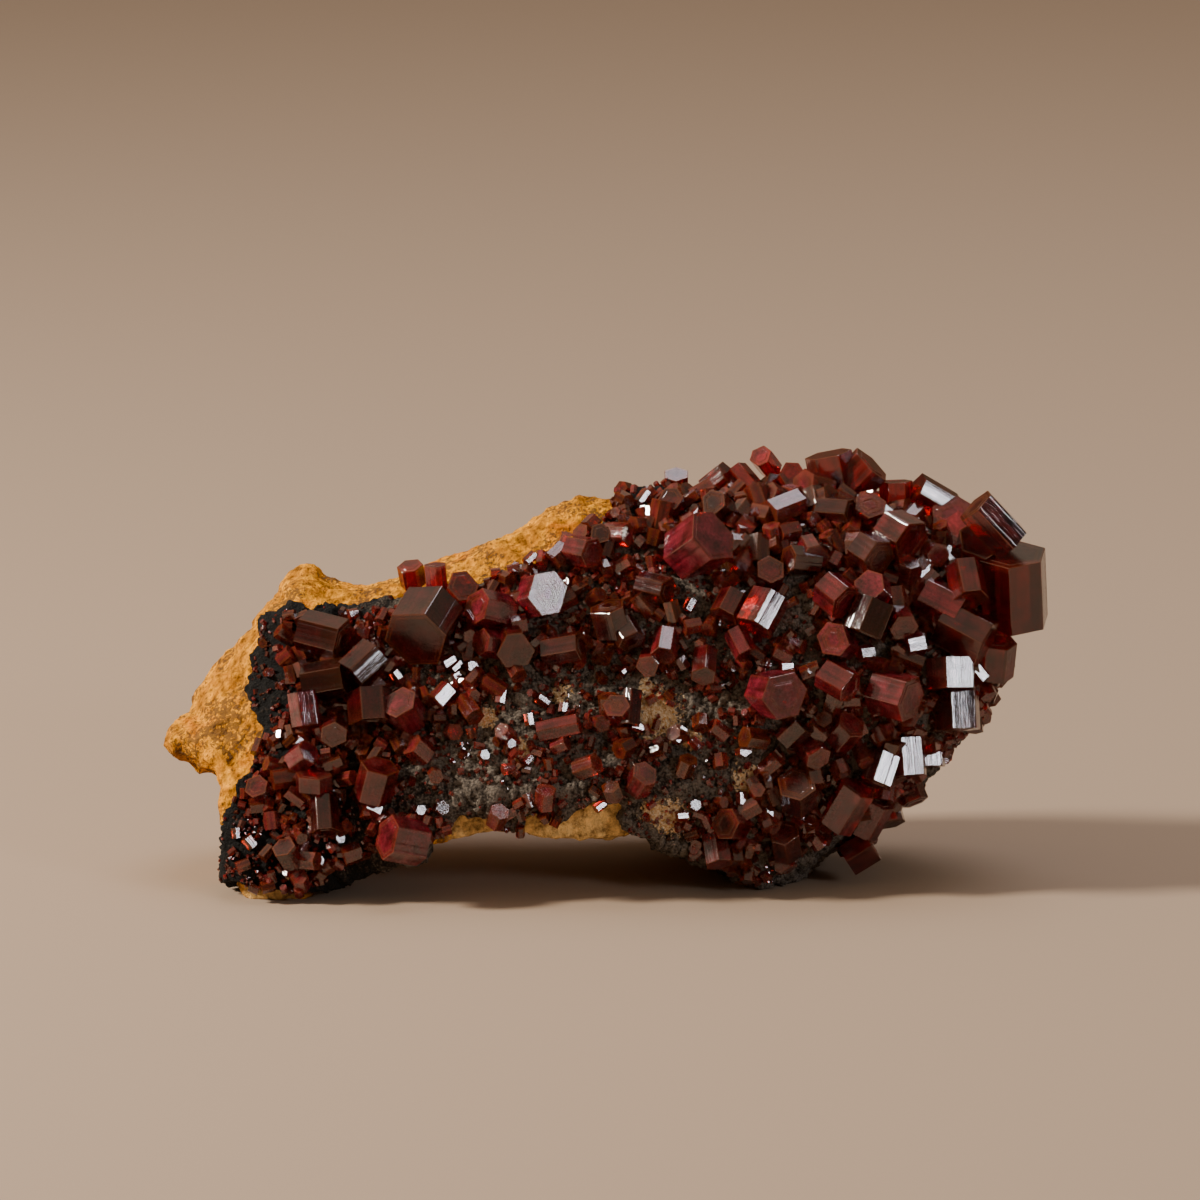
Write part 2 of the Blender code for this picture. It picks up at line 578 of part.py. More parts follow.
def small_crystal(index, place, skin):
    """A small crystal's mesh, standing near the crust's normal, or None where it misses the crust."""
    across, up, width = place
    eye, line = sight_line(across, up)
    hit, normal = skin.ray_cast(eye, line)[:2]
    if hit is None:
        return None
    rng = random.Random(f"small {index}")
    length = width * rng.uniform(*SMALL_LENGTH)
    along = lean(normal, rng)
    side = along.orthogonal().normalized()
    middle = hit + along * SMALL_STAND * length
    return prism((side, along.cross(side), along), middle, width, length, rng.uniform(0, 60), f"small {index}")


def lean(normal, rng):
    """A direction that leans at random from a normal."""
    tilt = rng.uniform(0.2, 1.0) * SMALL_TILT
    side = normal.orthogonal().normalized()
    side.rotate(Matrix.Rotation(rng.uniform(0, math.tau), 3, normal))
    return (normal * math.cos(tilt) + side * math.sin(tilt)).normalized()


def material(name, colour, roughness, **values):
    """A plain Principled material."""
    made = bpy.data.materials.new(name)
    made.use_nodes = True
    shader = made.node_tree.nodes["Principled BSDF"]
    shader.inputs["Base Color"].default_value = colour
    shader.inputs["Roughness"].default_value = roughness
    for socket, value in values.items():
        shader.inputs[socket].default_value = value
    return made


def clear_scene():
    """Start from nothing."""
    for body in list(bpy.data.objects):
        bpy.data.objects.remove(body)


def new_collection(name):
    """A collection linked to the scene."""
    made = bpy.data.collections.new(name)
    bpy.context.scene.collection.children.link(made)
    return made


def make_rock(surface, parts):
    """The ochre matrix rock, cut off flat at its feet."""
    rock = new_object("matrix_rock", surface.copy(), parts)
    flatten_foot(rock, 0.0)
    rock.data.materials.append(material("ochre_limonite", OCHRE, 0.93))
    return rock


def make_crust(surface, large, parts, cutters):
    """The black crust over the front and the right end, with the small crystals that are one with it."""
    crust = new_object("black_crust", swelled(surface, GAP + CRUST_THICKNESS), parts)
    reach = cutter("crust_reach", border_prism(CRUST_BORDER, CRUST_DEPTHS), cutters)
    plan = cutter("crust_plan", plan_prism(CRUST_PLAN, CRUST_HEIGHTS), cutters)
    arch = cutter("crust_arch", plan_prism(ARCH_PLAN, ARCH_HEIGHTS), cutters)
    boolean(crust, reach, "INTERSECT")
    boolean(crust, plan, "INTERSECT")
    boolean(crust, arch, "DIFFERENCE")
    for crystal in small_crystals(surface, large, cutters):
        boolean(crust, crystal, "UNION")
        discard(crystal)
    inner = cutter("crust_inside", swelled(surface, GAP, lumpy=False), cutters)
    boolean(crust, inner, "DIFFERENCE")
    for item in (reach, plan, arch, inner):
        discard(item)
    flatten_foot(crust, CRUST_LOWEST_Z)
    keep_largest(crust)
    crust.data.materials.append(material("manganese_oxide_crust", BLACK, 0.82))
    return crust


def small_crystals(surface, large, cutters):
    """The small crystals one by one, each cut clear of the large crystals beside it."""
    skin = BVHTree.FromBMesh(swelled(surface, GAP + CRUST_THICKNESS))
    rooms = []
    for name, (item, middle) in large.items():
        mesh = large_prism(name, item, middle, grow=GAP)
        tree = BVHTree.FromBMesh(mesh)
        rooms.append((cutter("crystal_room", mesh, cutters), tree))
    for index, place in enumerate(SMALL):
        mesh = small_crystal(index, place, skin)
        if mesh is None:
            continue
        tree = BVHTree.FromBMesh(mesh)
        crystal = cutter("small_crystal", mesh, cutters)
        for room, room_tree in rooms:
            if tree.overlap(room_tree):
                boolean(crystal, room, "DIFFERENCE")
        if len(crystal.data.polygons) < LEAST_FACES:
            discard(crystal)
            continue
        keep_largest(crystal)
        yield crystal
    for room, room_tree in rooms:
        discard(room)


def large_prism(name, item, middle, grow=0.0, chamfer=0.0):
    """A large crystal's prism."""
    return prism(crystal_axes(item), middle, item.width, item.length, item.roll, name, grow, chamfer)


def make_crystals(surface, large, parts, cutters):
    """The large crystals, clear of the crust, and joined where they grow through each other."""
    bed = cutter("crystal_bed", swelled(surface, 2 * GAP + CRUST_THICKNESS), cutters)
    bodies = {}
    for name in large:
        bodies[name] = new_object(f"crystal_{name}", chamfered(name, large), parts)
        boolean(bodies[name], bed, "DIFFERENCE")
        keep_largest(bodies[name])
    discard(bed)
    red = material("vanadinite", DARK_RED, 0.1, IOR=2.35)
    for first, *others in clusters(bodies):
        body = bodies[first]
        for name in others:
            boolean(body, bodies[name], "UNION")
            discard(bodies[name])
        if others:
            body.name = f"cluster_{first}"
            keep_largest(body)
        body.data.materials.append(red)


def chamfered(name, large):
    """A large crystal's prism with its free end's edges cut."""
    item, middle = large[name]
    return large_prism(name, item, middle, chamfer=CHAMFER if item.width >= CHAMFERED_WIDTH else 0.0)


def main():
    """Build the specimen."""
    clear_scene()
    parts = new_collection("vanadinite_on_matrix")
    cutters = new_collection("cutters")
    surface = rock_mesh()
    make_rock(surface, parts)
    skin = BVHTree.FromBMesh(swelled(surface, GAP + CRUST_THICKNESS))
    large = {}
    for region, items in LARGE.items():
        for number, item in enumerate(items, 1):
            large[f"{region}_{number:02d}"] = (item, crystal_middle(item, skin))
    make_crystals(surface, large, parts, cutters)
    make_crust(surface, large, parts, cutters)
    surface.free()


main()
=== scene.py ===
"""Vanadinite on matrix, dressed: red hexagonal crystals on a black crust over ochre limonite.

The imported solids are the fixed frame. Here the rock and the crust get their relief, every crystal its
grooved sides, stepped cap and clear edges, and the crust its thousands of small crystals and druse. Lengths
are in millimetres in the layout frame, which FOOTPRINT sets off from the specimen's own.
"""

import logging
import math
import random
from collections.abc import Iterator
from dataclasses import dataclass, field, replace
from enum import Enum
from itertools import product

import bmesh
import bpy
import numpy as np
from mathutils import Matrix, Vector, noise
from mathutils.bvhtree import BVHTree
from mathutils.kdtree import KDTree

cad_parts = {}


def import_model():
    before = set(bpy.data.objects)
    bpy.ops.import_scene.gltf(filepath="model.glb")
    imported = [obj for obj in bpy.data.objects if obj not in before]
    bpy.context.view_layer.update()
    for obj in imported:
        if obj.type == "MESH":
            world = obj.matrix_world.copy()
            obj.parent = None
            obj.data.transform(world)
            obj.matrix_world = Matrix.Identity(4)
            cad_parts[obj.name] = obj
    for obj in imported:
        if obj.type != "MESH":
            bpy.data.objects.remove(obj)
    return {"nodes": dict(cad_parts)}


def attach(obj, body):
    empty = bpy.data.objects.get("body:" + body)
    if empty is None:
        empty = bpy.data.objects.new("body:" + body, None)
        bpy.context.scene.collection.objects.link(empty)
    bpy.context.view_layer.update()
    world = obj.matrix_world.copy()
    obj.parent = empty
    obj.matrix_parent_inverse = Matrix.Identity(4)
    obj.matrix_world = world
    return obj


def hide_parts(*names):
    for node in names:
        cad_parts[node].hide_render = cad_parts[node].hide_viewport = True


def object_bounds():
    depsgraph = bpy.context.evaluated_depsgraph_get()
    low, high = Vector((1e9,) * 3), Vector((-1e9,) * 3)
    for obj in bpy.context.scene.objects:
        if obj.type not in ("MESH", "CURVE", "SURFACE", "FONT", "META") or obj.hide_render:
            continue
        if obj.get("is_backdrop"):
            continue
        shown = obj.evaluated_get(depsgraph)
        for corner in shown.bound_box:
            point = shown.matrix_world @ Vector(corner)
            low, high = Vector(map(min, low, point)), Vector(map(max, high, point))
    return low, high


log = logging.getLogger("vanadinite")

MM = 0.001
FOOTPRINT = Vector((0.0, -2.5, 0.0))  # the layout frame's point that became the specimen's origin
WELD = 0.005 * MM  # points closer than this are one
SIDES = 6
SIDE_TURN = 60.0  # degrees from one side of a crystal to the next
ROOT = "root"

# A Mix node's settings. Its factor is input 0, its colours are inputs 6 and 7, and MIXED is its output.
MIX = {"data_type": "RGBA"}
MULTIPLY = {"data_type": "RGBA", "blend_type": "MULTIPLY"}
MIXED = 2


def to_linear(colour: str) -> tuple[float, float, float, float]:
    """A colour for a shader from its sRGB hex value.

    Args:
        colour: six hex digits, with or without a leading #.

    Returns:
        Linear red, green and blue, and an alpha of 1.
    """
    digits = colour.lstrip("#")
    channels = []
    for start in (0, 2, 4):
        value = int(digits[start:start + 2], 16) / 255
        channels.append(value / 12.92 if value <= 0.04045 else ((value + 0.055) / 1.055) ** 2.4)
    return (*channels, 1.0)


def connect(node: bpy.types.Node, **links: object) -> None:
    """Link or set a node's inputs.

    Args:
        node: the node.
        links: input sockets by name, with _ for a space, or by index as s0, s1 and so on. A node's output
            is linked, and anything else is set on the socket.
    """
    for name, value in links.items():
        key = int(name[1:]) if name[0] == "s" and name[1:].isdigit() else name.replace("_", " ")
        if isinstance(value, bpy.types.NodeSocket):
            node.id_data.links.new(value, node.inputs[key])
        else:
            node.inputs[key].default_value = value


def set_stops(ramp: bpy.types.ColorRamp, stops: dict[float, str]) -> None:
    """Give a ramp its colours.

    Args:
        ramp: a ramp node's own ramp.
        stops: sRGB hex colours by position.
    """
    for index, (position, colour) in enumerate(stops.items()):
        stop = ramp.elements[index] if index < len(ramp.elements) else ramp.elements.new(position)
        stop.position = position
        stop.color = to_linear(colour)


def add_node(
    tree: bpy.types.NodeTree, kind: str, settings: dict | None = None, **links: object
) -> bpy.types.Node:
    """Add a node to a material.

    Args:
        tree: the material's node tree.
        kind: the node's type, less its ShaderNode prefix.
        settings: attributes of the node itself, such as its blend type, and a ramp's stops.
        links: its inputs, as connect takes them.

    Returns:
        The new node.
    """
    made = tree.nodes.new(f"ShaderNode{kind}")
    for name, value in (settings or {}).items():
        if name == "stops":
            set_stops(made.color_ramp, value)
        else:
            setattr(made, name, value)
    connect(made, **links)
    return made


def blank_material(name: str) -> tuple[bpy.types.Material, bpy.types.NodeTree, bpy.types.Node]:
    """A material with only its Principled shader and output.

    Args:
        name: the real material's name.

    Returns:
        The material, its node tree and its shader.
    """
    made = bpy.data.materials.new(name)
    made.use_nodes = True
    tree = made.node_tree
    return made, tree, tree.nodes["Principled BSDF"]


# Which noise each relief is drawn with.
LUMPS, RAGGED, KNOBS, GRIT = 12.3, 5.0, 17.0, 29.0
PITS, RIPPLES, GRAIN = 21.0, 33.0, 45.0
DRIFTS, DRUSE = 41.0, 51.0


def fractal(point: Vector, span: float, seed: float) -> float:
    """Smooth noise from about -1 to 1.

    Args:
        point: a place in millimetres.
        span: how far across the lumps are, in millimetres.
        seed: which noise.

    Returns:
        The noise there.
    """
    fade, gap, octaves = 1.0, 2.0, 3
    return noise.fractal(point / span + Vector((seed, 2 * seed, 0.5 * seed)), fade, gap, octaves)


def smooth_step(low: float, high: float, value: float) -> float:
    """0 up to low, 1 from high on and a smooth rise between."""
    t = min(max((value - low) / (high - low), 0.0), 1.0)
    return t * t * (3 - 2 * t)


@dataclass(frozen=True)
class Viewpoint:
    """The eye point that the crystals are laid out from, in millimetres in the layout frame."""

    elevation: float = math.radians(11.0)
    distance: float = 700.0
    target: Vector = field(default_factory=lambda: Vector((-0.4, -5.0, 28.4)))
    target_up: float = 30.0
    frame_width: float = 120.0

    @property
    def upward(self) -> Vector:
        """The view's up."""
        return Vector((0, math.sin(self.elevation), math.cos(self.elevation)))

    @property
    def toward(self) -> Vector:
        """The direction from the specimen to the eye."""
        return Vector((0, -math.cos(self.elevation), math.sin(self.elevation)))

    @property
    def eye(self) -> Vector:
        """The eye point."""
        return self.target + self.toward * self.distance

    def line(self, across: float, up: float) -> Vector:
        """The direction of the sight line through a place in the view."""
        place = self.target + Vector((across - self.target.x, 0, 0)) + self.upward * (up - self.target_up)
        return (place - self.eye).normalized()

    def seen_at(self, point: Vector) -> tuple[float, float]:
        """Where a point is seen.

        Args:
            point: a place in the layout frame.

        Returns:
            How far across and up in the view it is.
        """
        arm = point - self.eye
        reach = self.distance / -arm.dot(self.toward)
        across = self.target.x + arm.x * reach
        up = self.target_up + arm.dot(self.upward) * reach
        return across, up


VIEW = Viewpoint()


class Shine(Enum):
    """How a crystal is turned to the front lamp: by its cap or by a side, and how many degrees short."""

    CAP = (True, 0.0)
    SIDE = (False, 0.0)
    HAZE = (True, 3.9)
    STREAKS = (False, 4.5)
    GLEAM = (False, 7.0)


@dataclass(frozen=True)
class Crystal:
    """A large six-sided prism. Lengths are in millimetres and angles in degrees.

    across and up are where its middle is seen from the eye point. heading is its axis in that view, 0 to
    the right and 90 up, facing turns the axis towards the eye, and roll turns the prism about its axis. y
    is given only where no crust lies behind it. tint is its shade, from 0, nearly black, to 1, crimson.
    """

    across: float
    up: float
    width: float
    length: float
    heading: float
    facing: float
    roll: float = 30.0
    y: float | None = None
    tint: float | None = None
    shine: Shine | None = None

    def axes(self) -> tuple[Vector, Vector, Vector]:
        """The crystal's own directions.

        Returns:
            Two directions across the crystal, then the direction along it.
        """
        heading = math.radians(self.heading)
        facing = math.radians(self.facing)
        in_view = Vector((math.cos(heading), 0, 0)) + VIEW.upward * math.sin(heading)
        side = VIEW.upward * math.cos(heading) - Vector((math.sin(heading), 0, 0))
        along = in_view * math.cos(facing) + VIEW.toward * math.sin(facing)
        return side, along.cross(side), along


LARGE = {
    "left": [
        Crystal(-28.1, 26.4, 4.6, 4.4, -14, 20, 30, tint=0.1),
        Crystal(-24.2, 23.5, 4.2, 3.7, 40, 15, 30, tint=0.1, shine=Shine.GLEAM),
        Crystal(-23.4, 19.3, 4.5, 3.3, -85, 15, 25, tint=0.1),
        Crystal(-20.0, 18.8, 3.8, 3.4, 120, 50, 30, tint=0.8),
        Crystal(-17.9, 27.5, 6.9, 4.8, -120, 48, 10, tint=0.1),
        Crystal(-19.2, 32.5, 2.6, 2.2, 100, 30, 20),
        Crystal(-16.7, 31.7, 2.4, 3.8, 95, 15, 0),
        Crystal(-14.3, 31.0, 3.4, 2.4, 60, 65, 10),
        Crystal(-27.0, 16.9, 2.9, 2.6, -95, 72, 0, tint=0.3),
        Crystal(-30.0, 19.1, 3.2, 3.4, -60, 30, 40, shine=Shine.STREAKS),
        # Nearly black as painted shade, where this crystal sits in shadow.
        Crystal(-27.9, 22.0, 3.8, 4.2, 10, 12, 30, tint=0.0),
        Crystal(-22.8, 11.8, 4.2, 3.6, 75, 25, 30),
        Crystal(-20.1, 6.0, 4.6, 3.8, 168, 30, 30),
        Crystal(-27.9, 8.5, 2.8, 3.6, -85, 20, 30),
        Crystal(-28.9, 11.9, 3.8, 1.6, 90, 20, 15),
        Crystal(-30.2, 14.3, 2.8, 2.3, 35, 35, 10),
        Crystal(-31.6, 4.5, 2.6, 2.4, 120, 40, 0),
        Crystal(-34.5, 11.0, 2.5, 1.9, 120, 64, 20),
    ],
    "middle": [
        Crystal(-11.3, 29.0, 3.9, 3.8, 166, 38, 30, tint=0.9),
        Crystal(-11.2, 25.6, 3.0, 2.8, 168, 38, 30, tint=0.9),
        Crystal(-9.0, 25.3, 4.0, 2.4, -60, 68, 5),
        Crystal(-6.3, 30.5, 4.6, 3.0, 10, 58, 0, tint=0.9, shine=Shine.HAZE),
        Crystal(-2.1, 34.9, 3.2, 2.9, -10, 45, 15),
        Crystal(-0.4, 36.3, 2.2, 2.0, 80, 68, 0),
        Crystal(0.7, 28.0, 3.8, 3.0, 105, 22, 55),
        Crystal(2.3, 26.6, 3.0, 2.4, -60, 35, 20),
        Crystal(-4.1, 25.2, 3.2, 3.8, 10, 20, 10),
        Crystal(1.4, 19.0, 2.9, 2.2, 110, 62, 5),
        Crystal(2.7, 19.2, 2.1, 3.6, -95, 15, 0),
        Crystal(-4.5, 17.2, 2.3, 4.2, 12, 10, 0),
        Crystal(3.7, 12.0, 2.9, 2.6, 60, 50, 20),
        Crystal(4.5, 23.8, 2.5, 2.2, -110, 66, 0),
        Crystal(6.1, 25.5, 2.7, 3.0, -100, 42, 30),
        Crystal(10.0, 23.5, 2.6, 3.4, -95, 48, 0),
        Crystal(5.1, 31.3, 2.9, 3.3, -15, 35, 30),
        Crystal(9.4, 35.4, 5.6, 4.7, 35, 42, 40, tint=0.95),
        Crystal(12.5, 29.4, 3.1, 2.8, -118, 30, 30),
        Crystal(15.9, 28.8, 4.1, 3.8, -100, 42, 40, tint=0.5, shine=Shine.STREAKS),
        Crystal(13.6, 25.7, 2.5, 2.8, -63, 20, 30),
        Crystal(17.2, 20.6, 5.2, 4.0, -10, 64, 20, tint=1.0),
        Crystal(16.6, 32.7, 3.0, 2.2, 80, 66, 10),
        Crystal(23.1, 30.5, 3.8, 3.0, -40, 34, 20),
        Crystal(20.8, 34.8, 2.9, 2.6, -60, 58, 10),
        Crystal(19.8, 34.0, 3.2, 3.2, 175, 30, 20),
        Crystal(23.4, 25.8, 3.6, 3.1, 160, 68, 10, tint=0.9),
    ],
    "top": [
        Crystal(6.8, 39.6, 2.8, 2.2, 110, 60, 10),
        Crystal(7.2, 41.8, 2.7, 1.9, 90, 35, 0),
        Crystal(11.4, 41.9, 3.0, 2.8, 38, 25, 0),
        Crystal(11.6, 39.2, 3.0, 3.0, 140, 55, 20),
        Crystal(14.0, 41.9, 2.8, 3.0, -50, 20, 20),
        Crystal(16.2, 43.7, 2.5, 2.8, 130, 50, 10),
        Crystal(16.6, 40.6, 3.6, 3.0, 40, 45, 20),
        Crystal(18.6, 42.0, 3.1, 2.5, 60, 64, 0),
        Crystal(22.8, 42.6, 4.9, 4.2, 102, 10, 22),
        Crystal(25.5, 42.2, 4.6, 3.9, 45, 15, 10),
        Crystal(29.2, 40.7, 3.4, 2.4, 92, 8, 30),
        Crystal(23.1, 39.0, 2.6, 3.5, -5, 30, 10),
        Crystal(26.5, 38.8, 3.4, 2.8, 80, 58, 0),
        Crystal(29.6, 36.5, 4.8, 3.3, -32, 38, 25),
        Crystal(26.7, 34.7, 4.2, 2.8, -35, 45, 30),
    ],
    "end": [
        Crystal(33.0, 40.1, 3.8, 4.4, -25, 8, 25, tint=0.2, shine=Shine.SIDE),
        Crystal(34.9, 36.7, 6.0, 5.0, 75, 60, 12, tint=0.95),
        Crystal(38.9, 37.5, 4.3, 5.4, 133, 16, 30, -4.5, 0.1, Shine.STREAKS),
        Crystal(41.0, 31.2, 7.0, 7.4, 94, 24, 48, -3.5, 0.15),
        Crystal(36.3, 31.7, 4.0, 3.8, -80, 28, 20, -8.0),
        Crystal(33.8, 29.7, 4.4, 4.2, -27, 10, 15),
        Crystal(36.1, 26.7, 5.2, 5.0, -28, 14, 10, -9.0),
        Crystal(39.1, 24.3, 4.2, 4.0, 86, 32, 25, -6.0),
        Crystal(34.7, 22.6, 5.2, 3.1, -88, 4, 18, -10.0, 0.3, Shine.SIDE),
        Crystal(35.3, 18.9, 4.6, 3.8, -85, 14, 25, -8.5, 0.2, Shine.GLEAM),
        Crystal(33.1, 18.5, 4.2, 4.2, -92, 15, 0, -5.5),
        Crystal(32.3, 15.2, 3.8, 3.8, -88, 5, 10, -5.5),
        Crystal(30.3, 14.3, 3.7, 3.8, -85, 6, 25, shine=Shine.STREAKS),
        Crystal(27.7, 13.0, 3.6, 3.2, -110, 10, 15, shine=Shine.SIDE),
        Crystal(30.6, 11.0, 2.9, 2.8, -68, 15, 30, -5.0),
        Crystal(28.5, 8.8, 2.8, 2.6, -75, 20, 10, -5.0),
        Crystal(29.0, 20.6, 4.8, 4.0, -15, 32, 20),
        Crystal(26.7, 28.2, 4.4, 3.6, -112, 6, 15),
        Crystal(26.9, 31.0, 3.4, 3.0, 140, 64, 20, tint=0.9),
        Crystal(30.3, 32.8, 2.4, 2.6, 80, 38, 10),
        Crystal(29.6, 27.8, 3.0, 2.6, -60, 55, 0),
        Crystal(30.9, 25.5, 2.6, 1.9, 12, 10, 30, shine=Shine.SIDE),
        Crystal(37.4, 34.8, 4.6, 4.4, 85, 58, 10, -2.5, 0.1),
    ],
    "low": [
        Crystal(23.4, 21.9, 3.4, 3.4, -30, 30, 15),
        Crystal(19.4, 10.8, 4.0, 3.2, 95, 55, 5),
        Crystal(12.8, 7.5, 3.3, 2.8, 170, 60, 10),
        Crystal(18.1, 5.8, 3.4, 3.3, 100, 50, 0),
        Crystal(11.3, 5.0, 3.0, 3.1, -80, 22, 0),
        Crystal(18.9, 16.7, 2.8, 2.6, 45, 12, 30),
        Crystal(20.9, 14.8, 2.8, 2.6, -50, 45, 20),
        Crystal(24.0, 16.8, 3.2, 2.8, 50, 42, 20),
        Crystal(24.2, 9.4, 3.8, 4.8, 60, 24, 15),
        Crystal(26.6, 8.3, 3.4, 3.8, 62, 18, 35, -8.0),
        Crystal(25.6, 4.7, 4.0, 3.0, 32, 4, 0, -8.0),
    ],
}

# The small crystals that are one with the crust in the solids: (across, up, width).
SMALL = [
    (-31.7, 24.1, 1.9), (-31.8, 26.3, 1.6), (-32.8, 13.4, 1.6), (-30.8, 10.3, 1.6), (-30.2, 2.0, 1.9),
    (-25.1, 4.7, 2.0), (-8.4, 27.3, 2.0), (-0.7, 30.0, 1.8), (-12.9, 22.0, 1.7), (-8.8, 22.8, 1.9),
    (-10.9, 21.3, 1.8), (0.5, 19.4, 2.0), (-0.4, 17.5, 1.8), (2.1, 15.1, 1.9), (-1.7, 13.2, 2.2),
    (0.8, 11.0, 1.9), (-4.4, 15.3, 1.6), (-5.9, 10.4, 2.1), (-9.7, 16.5, 1.7), (-13.3, 19.0, 2.1),
    (-15.0, 16.6, 1.8), (-16.1, 20.3, 2.2), (-18.6, 14.7, 2.4), (-16.8, 12.3, 1.6), (-10.7, 8.5, 2.0),
    (3.4, 41.0, 1.7), (3.6, 37.0, 1.9), (5.1, 36.0, 1.9), (4.2, 29.3, 2.1), (6.9, 28.6, 1.7),
    (8.8, 27.3, 1.7), (10.5, 27.5, 1.6), (14.2, 37.0, 1.9), (17.0, 36.0, 1.9), (18.2, 36.5, 2.0),
    (7.3, 16.5, 1.7), (8.1, 13.3, 1.9), (9.7, 17.7, 1.8), (11.6, 17.0, 1.6), (11.7, 13.9, 1.6),
    (15.1, 16.3, 2.2), (16.4, 7.4, 1.8), (21.1, 6.0, 1.6), (19.9, 4.2, 1.7), (17.2, 3.0, 1.6),
    (20.6, 22.8, 1.6), (19.4, 25.4, 1.6), (26.2, 24.6, 1.6), (27.2, 23.4, 1.7), (27.9, 17.2, 1.6),
    (25.8, 14.6, 1.8), (21.2, 17.0, 1.9), (24.8, 33.5, 1.6), (31.0, 30.2, 1.8),
]

# Smaller ones still, which the solids leave out and which are turned to the lamp: (across, up, width).
LESSER = [
    (-23.2, 30.0, 1.2), (-25.0, 28.5, 1.0), (-30.5, 15.7, 1.0), (-36.7, 6.6, 1.0), (-38.8, 3.8, 0.9),
    (-26.4, 6.2, 1.1), (-20.5, 22.2, 1.2), (-1.8, 26.8, 1.2), (-7.4, 34.0, 1.1), (-3.2, 25.9, 1.0),
    (-15.5, 23.7, 1.2), (-14.8, 23.3, 1.1), (-13.3, 23.2, 1.2), (-6.3, 19.9, 1.2), (-7.6, 18.0, 1.0),
    (-9.6, 13.0, 1.1), (-0.4, 9.5, 1.0), (5.1, 41.5, 1.0), (8.6, 42.2, 1.1), (11.8, 27.4, 1.2),
    (12.6, 27.6, 1.1), (18.9, 9.6, 1.1), (-14.7, 22.4, 0.9), (-13.1, 16.6, 1.1), (-15.0, 16.6, 1.0),
    (-16.3, 9.2, 1.5), (-18.4, 9.0, 1.1), (-10.2, 20.3, 1.2), (-4.0, 19.2, 1.0), (-12.0, 14.4, 1.1),
    (-7.5, 10.1, 1.1), (3.8, 40.0, 1.1), (4.4, 38.5, 0.9), (2.1, 37.3, 1.2), (7.7, 32.7, 1.1),
    (8.6, 29.3, 1.2), (7.9, 23.7, 1.3), (9.2, 22.3, 1.0), (9.1, 15.7, 1.2), (11.7, 14.0, 1.1),
    (13.8, 15.0, 1.3), (3.2, 17.3, 1.0), (1.4, 19.9, 1.2), (8.9, 9.6, 1.2), (7.7, 8.5, 1.1),
    (13.6, 10.2, 1.1), (16.2, 8.8, 1.2), (22.5, 35.7, 1.1), (19.7, 35.0, 1.0), (16.6, 30.3, 1.0),
    (28.2, 28.3, 1.0), (-23.1, 9.1, 1.5), (-33.7, 4.7, 1.3), (-35.4, 5.7, 1.2), (-30.0, 5.4, 1.0),
    (4.5, 23.8, 1.3), (7.3, 16.5, 1.4), (3.6, 12.0, 1.2), (18.1, 23.2, 1.2), (-0.2, 36.5, 1.1),
    (20.6, 22.8, 1.5),
]


@dataclass(frozen=True)
class Patch:
    """A round place in the view, in millimetres."""

    across: float
    up: float
    radius: float

    def share(self, across: float, up: float) -> float:
        """How far inside the patch a place is: 1 at its middle and 0 from its edge on."""
        away = math.hypot(across - self.across, up - self.up)
        return max(0.0, 1 - away / self.radius)


def patches(*places: tuple[float, float, float]) -> list[Patch]:
    """Patches by where they are across and up and by their radius."""
    return [Patch(*place) for place in places]


# Where the crust shows with hardly a crystal on it.
BARE = patches(
    (-13.8, 11.0, 5.2), (-7.2, 19.8, 3.4), (-1.6, 23.4, 3.0), (-33.6, 28.5, 4.0), (-34.2, 23.5, 3.6),
    (-34.4, 18.5, 3.2), (-23.8, 7.4, 2.4), (-28.6, 30.4, 4.2), (-22.8, 30.8, 3.6), (-9.6, 23.0, 2.6),
    (-4.8, 27.0, 2.2), (19.6, 30.6, 2.6), (8.6, 31.0, 3.0), (18.4, 28.0, 2.8), (7.6, 17.8, 4.4),
    (9.4, 12.6, 4.6), (4.4, 6.8, 5.0), (10.8, 15.6, 4.0), (-9.6, 10.4, 4.2), (3.4, 20.4, 3.0),
    (12.6, 20.6, 2.8), (13.8, 12.4, 2.4), (26.4, 14.0, 2.0), (22.6, 24.4, 1.8), (-36.0, 3.2, 3.4),
    (-3.6, 12.6, 2.6), (-8.0, 25.0, 2.0), (3.0, 34.4, 2.0), (-15.6, 9.6, 3.4),
)

# Where pale limonite comes through the crust in specks.
PALE = patches(
    (5.2, 18.4, 5.4), (14.3, 12.0, 3.4), (-8.4, 14.6, 2.6), (-4.2, 20.4, 2.0), (12.4, 32.8, 3.6),
    (-11.6, 18.0, 2.6), (8.8, 16.0, 2.2), (-30.8, 3.6, 2.6), (16.8, 14.0, 1.8), (6.3, 8.9, 3.6),
    (4.6, 9.4, 2.4), (4.2, 21.0, 2.0),
)

# Where the rock's low face, along its lower lip and its left foot, is drawn paler: partly its own paler
# tone, partly painted light where it faces down into shade.
PALE_AND_LIT_LOW = patches(
    (-1.0, 7.6, 4.6), (-5.6, 7.0, 4.0), (-12.6, 7.2, 3.6), (-33.4, 0.8, 3.4),
)

# Where crystals stand more thinly than elsewhere.
SPARSE = patches(
    (-5.0, 16.0, 15.0), (7.0, 18.0, 13.0), (-14.0, 14.0, 9.0), (12.0, 27.0, 8.0),
)

# Where the rock falls back from its solid, each with how far it does.
HOLLOWS = {Patch(-42.4, 12.8, 3.0): 1.1, Patch(-39.6, 12.0, 2.6): 0.9, Patch(-41.6, 19.0, 2.4): 0.5}

